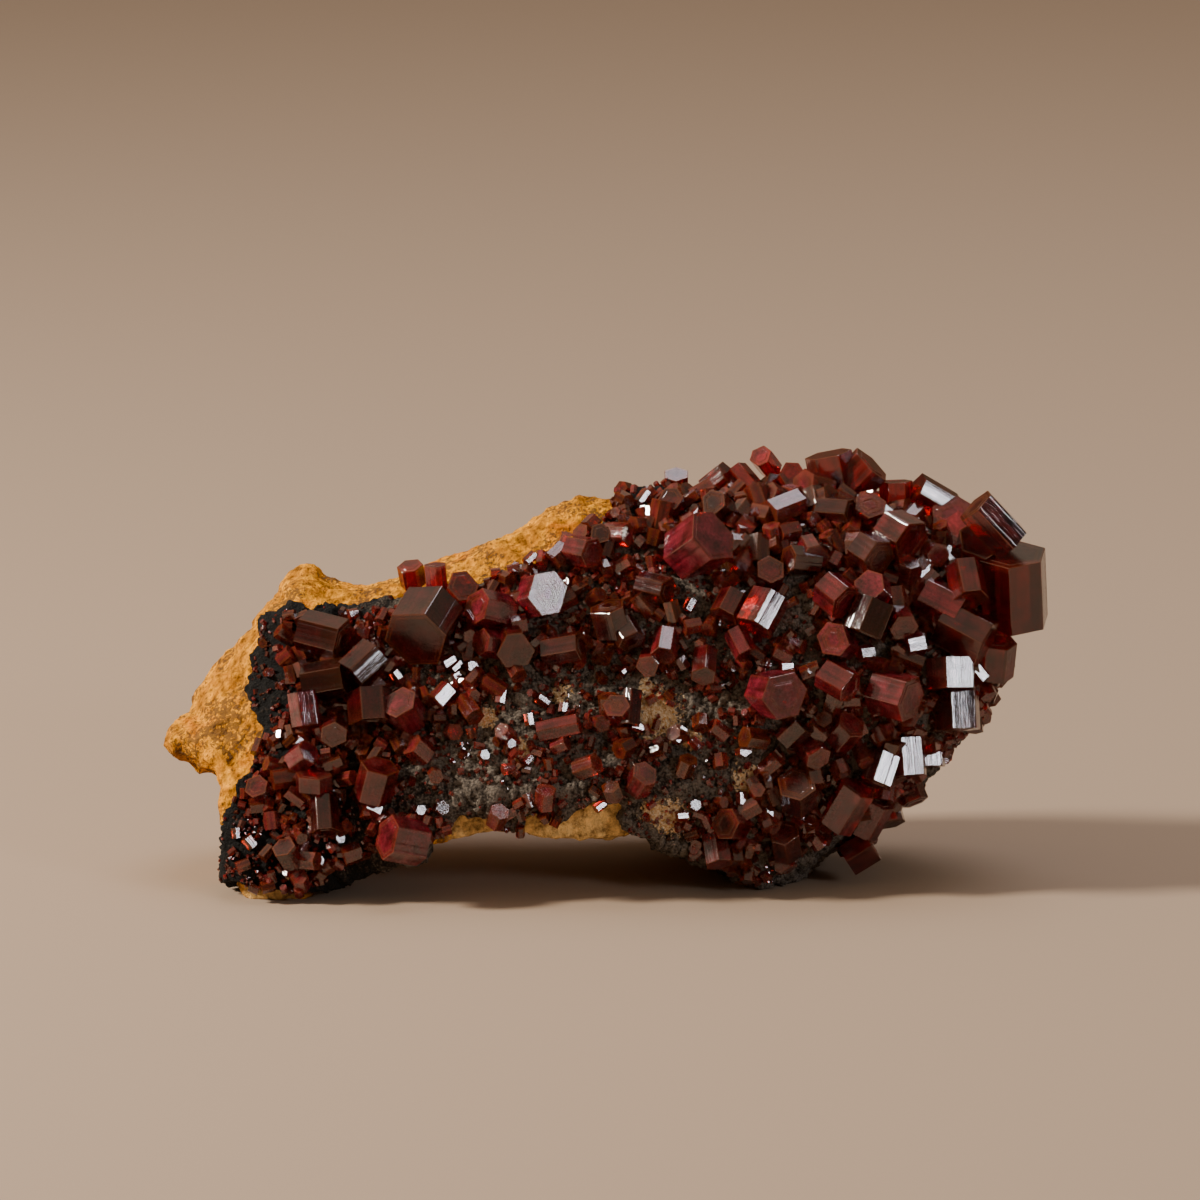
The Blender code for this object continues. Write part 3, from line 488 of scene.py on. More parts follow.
# Where the druse glitters.
GLINTS = patches(
    (-36.1, 3.5, 2.0), (-32.3, 18.6, 1.3), (-31.6, 21.0, 1.5), (-31.9, 28.8, 1.8), (-35.4, 7.0, 1.8),
    (-14.2, 14.7, 1.5), (-10.6, 11.0, 1.3), (-3.2, 20.5, 1.6), (16.0, 2.1, 1.8), (22.9, 13.0, 1.4),
    (19.2, 7.2, 1.4), (-33.8, 15.2, 1.2), (1.4, 33.4, 1.4), (-20.6, 11.0, 1.3),
)


def seen_in(found: list[Patch], point: Vector) -> float:
    """How far inside any of some patches a point is seen, from 0 to 1."""
    across, up = VIEW.seen_at(point)
    return max(patch.share(across, up) for patch in found)


def front_seen_in(found: list[Patch], point: Vector) -> float:
    """As seen_in, but 0 for a point that is on the specimen's back."""
    front_ends = 2.0
    return seen_in(found, point) if point.y < front_ends else 0.0


# The border that the crust keeps within as it is seen: (across, up).
CRUST_BORDER = [
    (-33.2, 29.2), (-34.5, 28.1), (-34.7, 26.0), (-35.5, 23.1), (-36.0, 20.6), (-34.2, 17.0),
    (-35.0, 13.5), (-36.4, 12.4), (-37.2, 9.7), (-38.3, 7.8), (-38.5, 1.9), (-37.2, 1.2), (-35.2, 0.9),
    (-31.7, 1.0), (-29.5, 0.3), (-24.0, 2.0), (-18.5, 3.0), (-16.4, 5.9), (-14.9, 8.0), (-10.4, 8.3),
    (-10.2, 6.6), (-8.3, 6.6), (-7.4, 8.3), (-4.4, 7.8), (-1.4, 9.3), (1.2, 9.8), (2.3, 6.0),
    (6.0, 4.6), (11.3, 2.8), (13.8, 0.8), (20.0, -1.0), (46.0, -1.0), (46.0, 46.0), (1.0, 46.0),
    (1.1, 40.9), (0.8, 39.0), (-0.4, 37.6), (-2.0, 36.8), (-4.4, 35.4), (-6.4, 34.0), (-10.4, 32.6),
    (-13.4, 31.4), (-21.4, 30.5), (-25.4, 29.6), (-28.9, 29.6), (-30.9, 30.2),
]

# The outline that the small crystals keep within as they are seen: (across, up).
OUTLINE = [
    (-38.5, 1.0), (-39.2, 3.6), (-38.2, 6.5), (-38.2, 8.8), (-36.6, 11.0), (-36.1, 13.5), (-35.2, 16.0),
    (-35.2, 26.0), (-34.2, 28.4), (-31.9, 29.6), (-25.4, 29.3), (-21.9, 29.6), (-20.9, 32.2),
    (-19.4, 34.1), (-13.4, 33.4), (-8.4, 34.4), (-4.4, 36.8), (-0.4, 38.8), (0.8, 40.8), (2.1, 41.9),
    (4.6, 41.2), (6.6, 42.9), (9.6, 42.3), (11.1, 43.1), (13.6, 43.9), (16.1, 45.1), (19.6, 43.3),
    (20.8, 44.6), (24.6, 45.1), (28.1, 42.5), (30.6, 41.9), (32.6, 41.3), (36.1, 39.6), (38.6, 40.1),
    (41.6, 36.6), (44.1, 34.1), (44.1, 30.1), (41.1, 26.1), (40.8, 22.2), (39.2, 20.6), (38.6, 17.8),
    (35.4, 15.8), (34.4, 13.8), (32.2, 12.8), (31.9, 10.5), (29.1, 8.8), (26.8, 7.8), (27.4, 6.2),
    (27.6, 4.8), (25.8, 3.2), (23.6, 4.8), (20.6, 5.0), (18.6, 3.2), (16.8, 1.6), (14.1, 1.4),
    (11.6, 3.2), (6.0, 5.0), (-0.3, 5.8), (-4.7, 6.2), (-14.9, 6.4), (-18.5, 5.2), (-21.8, 5.0),
    (-27.5, 2.0), (-30.4, 0.2), (-35.4, 0.2),
]


def is_within(outline: list[tuple[float, float]], across: float, up: float) -> bool:
    """Whether a place in the view is within an outline.

    Args:
        outline: its corners in order, each across and up.
        across: where the place is.
        up: and how high.

    Returns:
        True if it is within.
    """
    inside = False
    for (x0, y0), (x1, y1) in zip(outline, outline[1:] + outline[:1]):
        if (y0 > up) != (y1 > up) and across < x0 + (up - y0) * (x1 - x0) / (y1 - y0):
            inside = not inside
    return inside


def new_object(name: str, data: bpy.types.ID) -> bpy.types.Object:
    """Put a new object in the scene.

    Args:
        name: its name.
        data: its mesh, lamp or camera.

    Returns:
        The object.
    """
    made = bpy.data.objects.new(name, data)
    bpy.context.scene.collection.objects.link(made)
    return made


def set_values(mesh: bpy.types.Mesh, **values: list[float]) -> None:
    """Give a mesh's points the named values that its finish reads."""
    for name, numbers in values.items():
        mesh.attributes.new(name, "FLOAT", "POINT").data.foreach_set("value", numbers)


def surface_of(node: bpy.types.Object) -> BVHTree:
    """Make a solid's surface quick to search.

    Args:
        node: the solid.

    Returns:
        Its faces as a search tree, in metres.
    """
    bm = bmesh.new()
    bm.from_mesh(node.data)
    tree = BVHTree.FromBMesh(bm)
    bm.free()
    return tree


class Growth(Enum):
    """How much of a crystal's form is drawn, each with how strong its painted orange edge glow is, from 0
    to 1.
    """

    LARGE = 0.5  # grooved sides, rounded edges and a stepped cap
    SMALL = 0.4  # flat sides
    SPECK = 0.15  # a bare prism


@dataclass
class CrystalMesh:
    """The points, faces and finish values of many crystals, gathered for one mesh."""

    points: list = field(default_factory=list)
    faces: list = field(default_factory=list)
    places: list = field(default_factory=list)  # texture places of each face's corners, in millimetres
    clear: list = field(default_factory=list)  # per point, for the painted edge glow: 1 at a thin edge, 0 in the thick of the crystal
    tint: list = field(default_factory=list)  # per point: the crystal's own shade

    def to_object(self, name: str, material: bpy.types.Material) -> bpy.types.Object:
        """Make the gathered crystals one object.

        Args:
            name: the piece's name.
            material: its finish.

        Returns:
            The piece.
        """
        mesh = bpy.data.meshes.new(name)
        mesh.from_pydata(self.points, [], self.faces)
        flat = [value for face in self.places for place in face for value in place]
        mesh.uv_layers.new(name="grooves").data.foreach_set("uv", flat)
        set_values(mesh, clear=self.clear, tint=self.tint)
        mesh.materials.append(material)
        mesh.update()
        return new_object(name, mesh)


@dataclass(frozen=True)
class Prism:
    """One crystal's form, in millimetres in the layout frame."""

    axes: tuple[Vector, Vector, Vector]
    middle: Vector
    width: float
    length: float
    roll: float
    seed: str
    growth: Growth

    uneven: float = 0.09  # how far a side lies in or out, as a share of the width
    edge: float = 0.05  # the rounding of an edge
    groove: float = 0.02  # the deepest groove along a side
    groove_shares: tuple = (0.3, 0.6, 1.0)  # how deep one side's grooves may be against the deepest
    groove_gap: float = 0.3  # how far apart the grooves are
    groove_stretch: float = 0.02  # how much slower the grooves change along the crystal than across it
    glow_reach: float = 0.1  # how far in from an edge the painted glow reaches
    glow_share: float = 0.4  # and the most of its length that it reaches over
    glow_fade: float = 0.6
    taper: float = 0.02  # how far in its root is
    waist: float = 0.2  # how far below its middle a ring divides its sides, against half its length
    ledge: float = 0.2  # how wide the cap's flat border is
    terraces: tuple = (0, 1, 1, 2, 3)  # how many low steps the cap may have
    terrace_width: tuple = (0.02, 0.1)  # against the crystal's width
    terrace_height: tuple = (0.02, 0.07)
    terrace_ways: tuple = (1, 1, -1)  # up more often than down
    terrace_slope: float = 0.04
    terrace_glow: tuple = (0.5, 0.35)  # how strongly a step's upper and lower edges are painted with the glow
    summit: float = 0.3  # how far in the innermost ring may be, against the width
    summit_gap: float = 0.02
    summit_glow: float = 1.6
    core: float = 0.4  # how deep the cap's middle lies from any edge, against the width

    def reach(self) -> list[float]:
        """How far each of the six sides lies from the axis."""
        rng = random.Random(self.seed)
        flat = self.width * math.cos(math.pi / 6) / 2
        return [flat * (1 + rng.uniform(-self.uneven, self.uneven)) for _ in range(SIDES)]

    def corners(self, inset: float) -> list[tuple[float, float]]:
        """The outline's corners, each between a side and the next.

        Args:
            inset: how far every side is moved in.

        Returns:
            Six corners, in order.
        """
        reach = [value - inset for value in self.reach()]
        found = []
        for k in range(SIDES):
            first = math.radians(SIDE_TURN * k)
            second = math.radians(SIDE_TURN * (k + 1))
            a = reach[k]
            b = reach[(k + 1) % SIDES]
            scale = math.sin(second - first)
            x = (a * math.sin(second) - b * math.sin(first)) / scale
            y = (b * math.cos(first) - a * math.cos(second)) / scale
            found.append((x, y))
        return found

    def stations(self, rng: random.Random) -> list[list[tuple[float, float]]]:
        """Where each side is divided and how deep it is grooved there.

        Args:
            rng: the crystal's own chance.

        Returns:
            For each side, shares of its width with depths in millimetres.
        """
        if self.growth is Growth.SPECK:
            return [[(0.0, 0.0)] for _ in range(SIDES)]
        if self.growth is Growth.SMALL:
            return [[(0.0, 0.0), (0.5, 0.0)] for _ in range(SIDES)]
        near = self.edge / (self.width / 2)
        rim = max(2 * near, self.glow_reach / (self.width / 2))
        count = round(self.width / 2 / self.groove_gap)
        sides = []
        for _ in range(SIDES):
            inner = sorted(rng.uniform(rim, 1 - rim) for _ in range(count))
            deep = rng.choice(self.groove_shares) * self.groove
            side = [(near, 0.0), (rim, 0.0)]
            side += [(share, rng.uniform(0, deep)) for share in inner]
            side += [(1 - rim, 0.0), (1 - near, 0.0)]
            sides.append(side)
        return sides

    def levels(self, rng: random.Random) -> list[tuple[float, float, float]]:
        """The rings that the crystal is drawn through, from its root to its cap.

        Args:
            rng: the crystal's own chance.

        Returns:
            Each ring's height, inset and distance from the cap's rim.
        """
        top = self.length / 2
        if self.growth is Growth.SPECK:
            return [(-top, 0.0, self.length), (top, 0.0, 0.0)]
        rim = min(self.glow_reach, self.length * self.glow_share)
        if self.growth is Growth.SMALL:
            return [(-top, 0.0, self.length), (top - rim, 0.0, rim), (top, 0.0, 0.0)]
        height = top
        inset = self.edge + self.ledge
        found = [
            (-top, self.taper, self.length), (-top * self.waist, 0.0, top * (1 + self.waist)),
            (top - rim, 0.0, rim), (top - self.edge, 0.0, self.edge),
            (top, self.edge, 0.0), (height, inset, self.ledge),
        ]
        upper, lower = self.terrace_glow
        for _ in range(rng.choice(self.terraces)):
            inset += self.width * rng.uniform(*self.terrace_width)
            found.append((height, inset, upper * rim))
            height += rng.uniform(*self.terrace_height) * rng.choice(self.terrace_ways)
            inset += self.terrace_slope
            found.append((height, inset, lower * rim))
        inset = max(inset + self.summit_gap, min(self.width * self.summit, inset + self.glow_reach))
        found.append((height, inset, self.glow_reach * self.summit_glow))
        return found

    def add_to(self, batch: CrystalMesh, tint: float) -> None:
        """Draw the crystal into a mesh.

        Args:
            batch: the mesh being gathered.
            tint: the crystal's own shade.
        """
        rng = random.Random(f"form {self.seed}")
        sides = self.stations(rng)
        start = len(batch.points)
        around = sum(len(side) for side in sides)
        spots = []
        distances = []
        outlines = []
        levels = self.levels(rng)
        for height, inset, rim in levels:
            ring, walk, apart = self.ring(sides, inset)
            outlines.append((ring, walk))
            for (x, y), away in zip(ring, apart):
                spots.append((x, y, height))
                distances.append(min(away, rim) if inset <= self.edge else rim)
        spots.append((0.0, 0.0, levels[-1][0]))
        distances.append(self.width * self.core)
        batch.points.extend(self.placed(spots))
        fade = self.glow_fade * self.glow_reach
        # The painted edge glow: strongest at an edge, fading into the thick of the crystal.
        batch.clear.extend(self.growth.value * math.exp(-max(d, 0.0) / fade) for d in distances)
        batch.tint.extend([tint] * len(spots))
        self.add_faces(batch, start, around, levels, outlines)

    def ring(
        self, sides: list[list[tuple[float, float]]], inset: float
    ) -> tuple[list[tuple[float, float]], list[float], list[float]]:
        """One outline of the crystal.

        Args:
            sides: where each side is divided, with its grooves.
            inset: how far every side is moved in.

        Returns:
            The outline's points, how far round each is, and how far each is from the nearest long edge.
        """
        corners = self.corners(inset)
        ring = []
        walk = []
        apart = []
        passed = 0.0
        for k, side in enumerate(sides):
            x0, y0 = corners[k - 1]
            x1, y1 = corners[k]
            span = math.hypot(x1 - x0, y1 - y0)
            normal = math.radians(SIDE_TURN * k)
            for share, depth in side:
                x = x0 + (x1 - x0) * share - depth * math.cos(normal)
                y = y0 + (y1 - y0) * share - depth * math.sin(normal)
                ring.append((x, y))
                walk.append(passed + span * share)
                apart.append(span * min(share, 1 - share))
            passed += span
        walk.append(passed)
        return ring, walk, apart

    def add_faces(self, batch: CrystalMesh, start: int, around: int, levels: list, outlines: list) -> None:
        """Join the rings by faces, and close the root and the cap.

        Args:
            batch: the mesh being gathered.
            start: the crystal's first point.
            around: how many points a ring has.
            levels: the rings' heights and insets.
            outlines: the rings' points and how far round each is.
        """
        for i in range(len(levels) - 1):
            low = start + i * around
            high = low + around
            on_side = levels[i + 1][1] <= self.edge and levels[i + 1][0] > levels[i][0]
            for k in range(around):
                j = (k + 1) % around
                batch.faces.append((low + k, low + j, high + j, high + k))
                if on_side:
                    near, far = outlines[i][1][k:k + 2]
                    foot, head = (levels[row][0] * self.groove_stretch for row in (i, i + 1))
                    batch.places.append(((near, foot), (far, foot), (far, head), (near, head)))
                else:
                    first = outlines[i][0]
                    second = outlines[i + 1][0]
                    batch.places.append((first[k], first[j], second[j], second[k]))
        batch.faces.append(tuple(reversed(range(start, start + around))))
        batch.places.append(tuple(reversed(outlines[0][0])))
        last = start + (len(levels) - 1) * around
        centre = last + around
        top = outlines[-1][0]
        for k in range(around):
            j = (k + 1) % around
            batch.faces.append((last + k, last + j, centre))
            batch.places.append((top[k], top[j], (0.0, 0.0)))

    def placed(self, spots: list[tuple[float, float, float]]) -> list[tuple[float, float, float]]:
        """Put the crystal's own points in the specimen's frame.

        Args:
            spots: points in millimetres, two ways across the crystal and along it.

        Returns:
            The points in metres.
        """
        turn = math.radians(self.roll)
        side, other, along = self.axes
        basis = np.array([side, other, along])
        local = np.array(spots)
        x = local[:, 0] * math.cos(turn) - local[:, 1] * math.sin(turn)
        y = local[:, 0] * math.sin(turn) + local[:, 1] * math.cos(turn)
        world = np.stack([x, y, local[:, 2]], axis=1) @ basis
        world = (world + np.array(self.middle) - np.array(FOOTPRINT)) * MM
        return [tuple(row) for row in world]

    def is_seen_outside(self) -> bool:
        """Whether the crystal would be seen to stand out over OUTLINE.

        Returns:
            True if any of four points round its middle is seen outside.
        """
        across, up = VIEW.seen_at(self.middle)
        arm = 0.4 * self.width  # nearly to its sides
        around = ((1, 0), (-1, 0), (0, 1), (0, -1))
        return not all(is_within(OUTLINE, across + x * arm, up + y * arm) for x, y in around)

    def turned(self, shine: Shine, lamp: Vector) -> "Prism":
        """The crystal turned a little, so that the eye sees a lamp mirrored in a face.

        Args:
            shine: which face.
            lamp: the direction to the lamp.

        Returns:
            The turned crystal.
        """
        wanted = (lamp + VIEW.toward).normalized()
        side, other, along = self.axes
        by_cap, short = shine.value
        normals = [along]
        if not by_cap:
            angles = [math.radians(SIDE_TURN * k + self.roll) for k in range(SIDES)]
            normals = [side * math.cos(angle) + other * math.sin(angle) for angle in angles]
        nearest = max(normals, key=lambda normal: normal.dot(wanted))
        turn = nearest.rotation_difference(wanted).to_matrix()
        about = side if by_cap else along
        turn = turn @ Matrix.Rotation(math.radians(short), 3, about)
        return replace(self, axes=tuple(turn @ axis for axis in self.axes))

    def lowest(self) -> float:
        """The height of the crystal's lowest point."""
        up = abs(self.axes[2].z)
        return self.middle.z - (self.length * up + self.width * math.sqrt(1 - up * up)) / 2

    def holds(self, point: Vector, spare: float) -> bool:
        """Whether a point is in the crystal or close to it.

        Args:
            point: a place in the layout frame.
            spare: how close it may be.

        Returns:
            True if it is in the crystal or within spare of it.
        """
        arm = point - self.middle
        along = arm.dot(self.axes[2])
        off_axis = (arm - self.axes[2] * along).length
        flat = 0.46 * self.width  # between its flats' and its corners' distance
        return abs(along) < self.length / 2 + spare and off_axis < flat + spare


@dataclass
class CrustSkin:
    """The smooth outer face of the crust, which the crystals stand on. It matches the solids' layout."""

    rock: bpy.types.Object
    gap: float = 0.3
    thickness: float = 1.2
    lump_height: float = 0.35
    lump_span: float = 3.2
    end_on_stand: float = 0.32
    side_on_stand: float = 0.28
    most_stand: float = 1.7
    sight_step: float = 0.1
    pass_reach: int = 20
    small_stand: float = 0.24
    small_length: tuple[float, float] = (0.75, 1.35)
    least_tilt: float = 0.12
    tree: BVHTree = field(init=False)

    def __post_init__(self) -> None:
        """Swell the rock's own surface out to the crust's face."""
        bm = bmesh.new()
        bm.from_mesh(self.rock.data)
        bmesh.ops.remove_doubles(bm, verts=bm.verts, dist=WELD)
        bm.transform(Matrix.Translation(FOOTPRINT) @ Matrix.Scale(1 / MM, 4))
        bm.normal_update()
        moves = []
        for vert in bm.verts:
            lump = self.lump_height * abs(fractal(vert.co, self.lump_span, LUMPS))
            moves.append(vert.normal * (self.gap + self.thickness + lump))
        for vert, move in zip(bm.verts, moves):
            vert.co += move
        self.tree = BVHTree.FromBMesh(bm)
        bm.free()

    def middle_of(self, item: Crystal) -> Vector:
        """Where a large crystal's middle lies on its sight line.

        Args:
            item: the crystal.

        Returns:
            Its middle, partly sunk in the crust that is seen behind it.
        """
        line = VIEW.line(item.across, item.up)
        if item.y is not None:
            return VIEW.eye + line * ((item.y - VIEW.eye.y) / line.y)
        hit = self.tree.ray_cast(VIEW.eye, line)[0]
        if hit is None:
            reach = range(-self.pass_reach, self.pass_reach + 1)
            places = [VIEW.eye + line * (VIEW.distance + step) for step in reach]
            return min(places, key=lambda place: self.tree.find_nearest(place)[3])
        facing = math.radians(item.facing)
        end_on = self.end_on_stand * item.length * math.sin(facing)
        stand = end_on + self.side_on_stand * item.width * math.cos(facing)
        steps = math.ceil(stand * self.most_stand / self.sight_step)
        for step in range(steps):
            middle = hit - line * self.sight_step * step
            if self.tree.find_nearest(middle)[3] >= stand:
                break
        return middle

    def small_prism(
        self, seed: str, hit: Vector, normal: Vector, width: float, most_tilt: float, growth: Growth
    ) -> Prism:
        """A small crystal on the crust.

        Args:
            seed: its own chance.
            hit: where it stands on the crust.
            normal: the crust's normal there.
            width: the crystal's width.
            most_tilt: the most that it leans from the normal, in degrees.
            growth: how much of its form is drawn.

        Returns:
            The crystal's form.
        """
        rng = random.Random(seed)
        length = width * rng.uniform(*self.small_length)
        tilt = math.radians(math.sqrt(rng.uniform(self.least_tilt, 1.0)) * most_tilt)
        side = normal.orthogonal().normalized()
        side.rotate(Matrix.Rotation(rng.uniform(0, math.tau), 3, normal))
        along = (normal * math.cos(tilt) + side * math.sin(tilt)).normalized()
        side = along.orthogonal().normalized()
        middle = hit + normal * self.small_stand * (length * math.cos(tilt) + width * math.sin(tilt))
        roll = rng.uniform(0, SIDE_TURN)
        return Prism((side, along.cross(side), along), middle, width, length, roll, seed, growth)


@dataclass(frozen=True)
class OchreLimonite:
    """Limonite, an earthy iron oxide: dull, never glossy, ochre with rusty and dark grains, its grain drawn
    darker in the hollows of its relief, partly as painted shade, and its low face paler, partly as painted
    light.
    """

    deep: str = "b87414"
    main: str = "f0a21a"
    pale: str = "f0ac2c"
    rust: str = "d07a0c"
    speck: str = "563c22"
    pale_lit_sand: str = "fcd084"  # paler along its lower lip: partly its own tone, partly painted light where the lip faces down into shade
    darkest: str = "7c7468"  # painted shade, partly the grain's own tone: how much the grain darkens the colour in the hollows of its relief
    darker: str = "d0d0d0"
    roughness: float = 0.93
    specular: float = 0.15
    mottle_span: float = 4.0  # mm
    grain_span: float = 0.9  # mm
    speck_span: float = 0.38  # mm, coarser than the real specks so that they show
    drift_span: float = 4.5  # mm, between one crowd of dark specks and the next
    speck_from: tuple[float, float] = (1.05, 1.09)  # specks and drift together, from none to the darkest
    speck_share: float = 0.8
    relief: float = 0.35  # mm
    grain_rise: float = 1.6  # the grain's share of the relief, against the specks'
    bump: float = 0.7

    def material(self) -> bpy.types.Material:
        """Make the finish.

        Returns:
            Its material.
        """
        made, tree, shader = blank_material("ochre_limonite")
        place = add_node(tree, "NewGeometry").outputs["Position"]
        mottle = add_node(tree, "TexNoise", Vector=place, Scale=1 / (self.mottle_span * MM), Detail=6.0)
        stops = {0.32: self.rust, 0.45: self.main, 0.56: self.deep, 0.64: self.main, 0.76: self.pale}
        colour = add_node(tree, "ValToRGB", {"stops": stops}, Fac=mottle.outputs["Fac"]).outputs["Color"]
        scale = 1 / (self.grain_span * MM)
        grain = add_node(tree, "TexNoise", Vector=place, Scale=scale, Detail=5.0, Roughness=0.7)
        # Painted shade, partly the grain's own tone: the grain that raises the relief darkens the colour
        # where it is low.
        stops = {0.34: self.darkest, 0.48: self.darker, 0.62: "ffffff"}
        light = add_node(tree, "ValToRGB", {"stops": stops}, Fac=grain.outputs["Fac"]).outputs["Color"]
        colour = add_node(tree, "Mix", MULTIPLY, s0=1.0, s6=colour, s7=light).outputs[MIXED]
        specks = add_node(tree, "TexNoise", Vector=place, Scale=1 / (self.speck_span * MM), Detail=2.0)
        drift = add_node(tree, "TexNoise", Vector=place, Scale=1 / (self.drift_span * MM), Detail=3.0)
        both = add_node(tree, "Math", {"operation": "ADD"}, s0=specks.outputs["Fac"],
                        s1=drift.outputs["Fac"])
        low, high = self.speck_from
        dark = add_node(tree, "MapRange", Value=both.outputs[0], From_Min=low, From_Max=high,
                        To_Max=self.speck_share)
        rusty = add_node(tree, "Mix", MIX, s0=dark.outputs["Result"], s6=colour, s7=to_linear(self.speck))
        # The low face's paler colour: partly its own tone, partly painted light where it faces down into
        # shade.
        pale_lit_sandy = add_node(tree, "Mix", MULTIPLY, s0=1.0, s6=to_linear(self.pale_lit_sand), s7=light)
        bleached = add_node(tree, "Attribute", {"attribute_name": "bleached"}).outputs["Fac"]
        earthy = add_node(tree, "Mix", MIX, s0=bleached, s6=rusty.outputs[MIXED], s7=pale_lit_sandy.outputs[MIXED])
        height = add_node(tree, "Math", {"operation": "MULTIPLY_ADD"}, s0=grain.outputs["Fac"],
                          s1=self.grain_rise, s2=specks.outputs["Fac"])
        bump = add_node(tree, "Bump", Height=height.outputs[0], Strength=self.bump,
                        Distance=self.relief * MM)
        connect(shader, Base_Color=earthy.outputs[MIXED], Roughness=self.roughness,
                Specular_IOR_Level=self.specular, Normal=bump.outputs["Normal"])
        return made


@dataclass(frozen=True)
class ManganeseCrust:
    """Manganese oxide with iron: a dull sooty crust of fine grains, painted grey-brown where they stand out
    to catch light and painted near-black as shade in the gaps between them.
    """

    # The tone's colours: shade is painted in the gaps between the grains, grey on what stands out.
    shade: str = "070605"
    main: str = "2e261e"
    grey: str = "7c7266"
    pale: str = "f0dcb8"
    ochre: str = "cc9850"
    roughness: float = 0.85
    specular: float = 0.25
    broad_span: float = 2.4  # mm
    grain_span: float = 0.24  # mm, coarser than the real grains so that they show
    gap_depth: float = 0.7  # of the gaps between the grains, against the grains, in the relief and in the painted shade
    broad_share: float = 0.35  # of the broad tone, against the grains
    highlight_and_greying_share: float = 0.3  # painted highlight: how much paler what stands out is, raised grains and knobs, with the greying by place
    worm_span: float = 0.4  # mm, across the pale specks
    worm_bend: float = 0.8
    pale_from: tuple[float, float] = (0.98, 1.06)  # place and pattern together, from none to a pale speck
    relief: float = 0.35  # mm

    def material(self) -> bpy.types.Material:
        """Make the finish.

        Returns:
            Its material.
        """
        made, tree, shader = blank_material("manganese_oxide_crust")
        place = add_node(tree, "NewGeometry").outputs["Position"]
        broad = add_node(tree, "TexNoise", Vector=place, Scale=1 / (self.broad_span * MM), Detail=5.0)
        scale = 1 / (self.grain_span * MM)
        grain = add_node(tree, "TexNoise", Vector=place, Scale=scale, Detail=4.0, Roughness=0.75)
        cells = add_node(tree, "TexVoronoi", {"feature": "SMOOTH_F1"}, Vector=place, Scale=scale)
        # Painted shade: the tone, like the relief, is darkest in the gaps between the grains.
        relief = add_node(tree, "Math", {"operation": "MULTIPLY_ADD"}, s0=cells.outputs["Distance"],
                          s1=-self.gap_depth, s2=grain.outputs["Fac"])
        spread = add_node(tree, "Math", {"operation": "MULTIPLY"}, s0=broad.outputs["Fac"],
                          s1=self.broad_share)
        # Painted highlight: raised grains and knobs, and the crust where it greys by place, are drawn
        # paler.
        stand = add_node(tree, "Attribute", {"attribute_name": "stand"})
        raised = add_node(tree, "Math", {"operation": "MULTIPLY_ADD"}, s0=stand.outputs["Fac"],
                          s1=self.highlight_and_greying_share, s2=spread.outputs[0])
        tone = add_node(tree, "Math", {"operation": "ADD"}, s0=relief.outputs[0], s1=raised.outputs[0])
        stops = {0.2: self.shade, 0.48: self.main, 0.95: self.grey}
        sooty = add_node(tree, "ValToRGB", {"stops": stops}, Fac=tone.outputs[0])
        pale = add_node(tree, "Attribute", {"attribute_name": "pale"})
        worm = add_node(tree, "TexNoise", Vector=place, Scale=1 / (self.worm_span * MM), Detail=3.0,
                        Distortion=self.worm_bend)
        both = add_node(tree, "Math", {"operation": "ADD"}, s0=pale.outputs["Fac"], s1=worm.outputs["Fac"])
        low, high = self.pale_from
        amount = add_node(tree, "MapRange", Value=both.outputs[0], From_Min=low, From_Max=high)
        stops = {0.4: self.ochre, 0.6: self.pale}
        limonite = add_node(tree, "ValToRGB", {"stops": stops}, Fac=grain.outputs["Fac"])
        colour = add_node(tree, "Mix", MIX, s0=amount.outputs["Result"], s6=sooty.outputs["Color"],
                          s7=limonite.outputs["Color"])
        bump = add_node(tree, "Bump", Height=relief.outputs[0], Strength=1.0, Distance=self.relief * MM)
        connect(shader, Base_Color=colour.outputs[MIXED], Roughness=self.roughness,
                Specular_IOR_Level=self.specular, Normal=bump.outputs["Normal"])
        return made


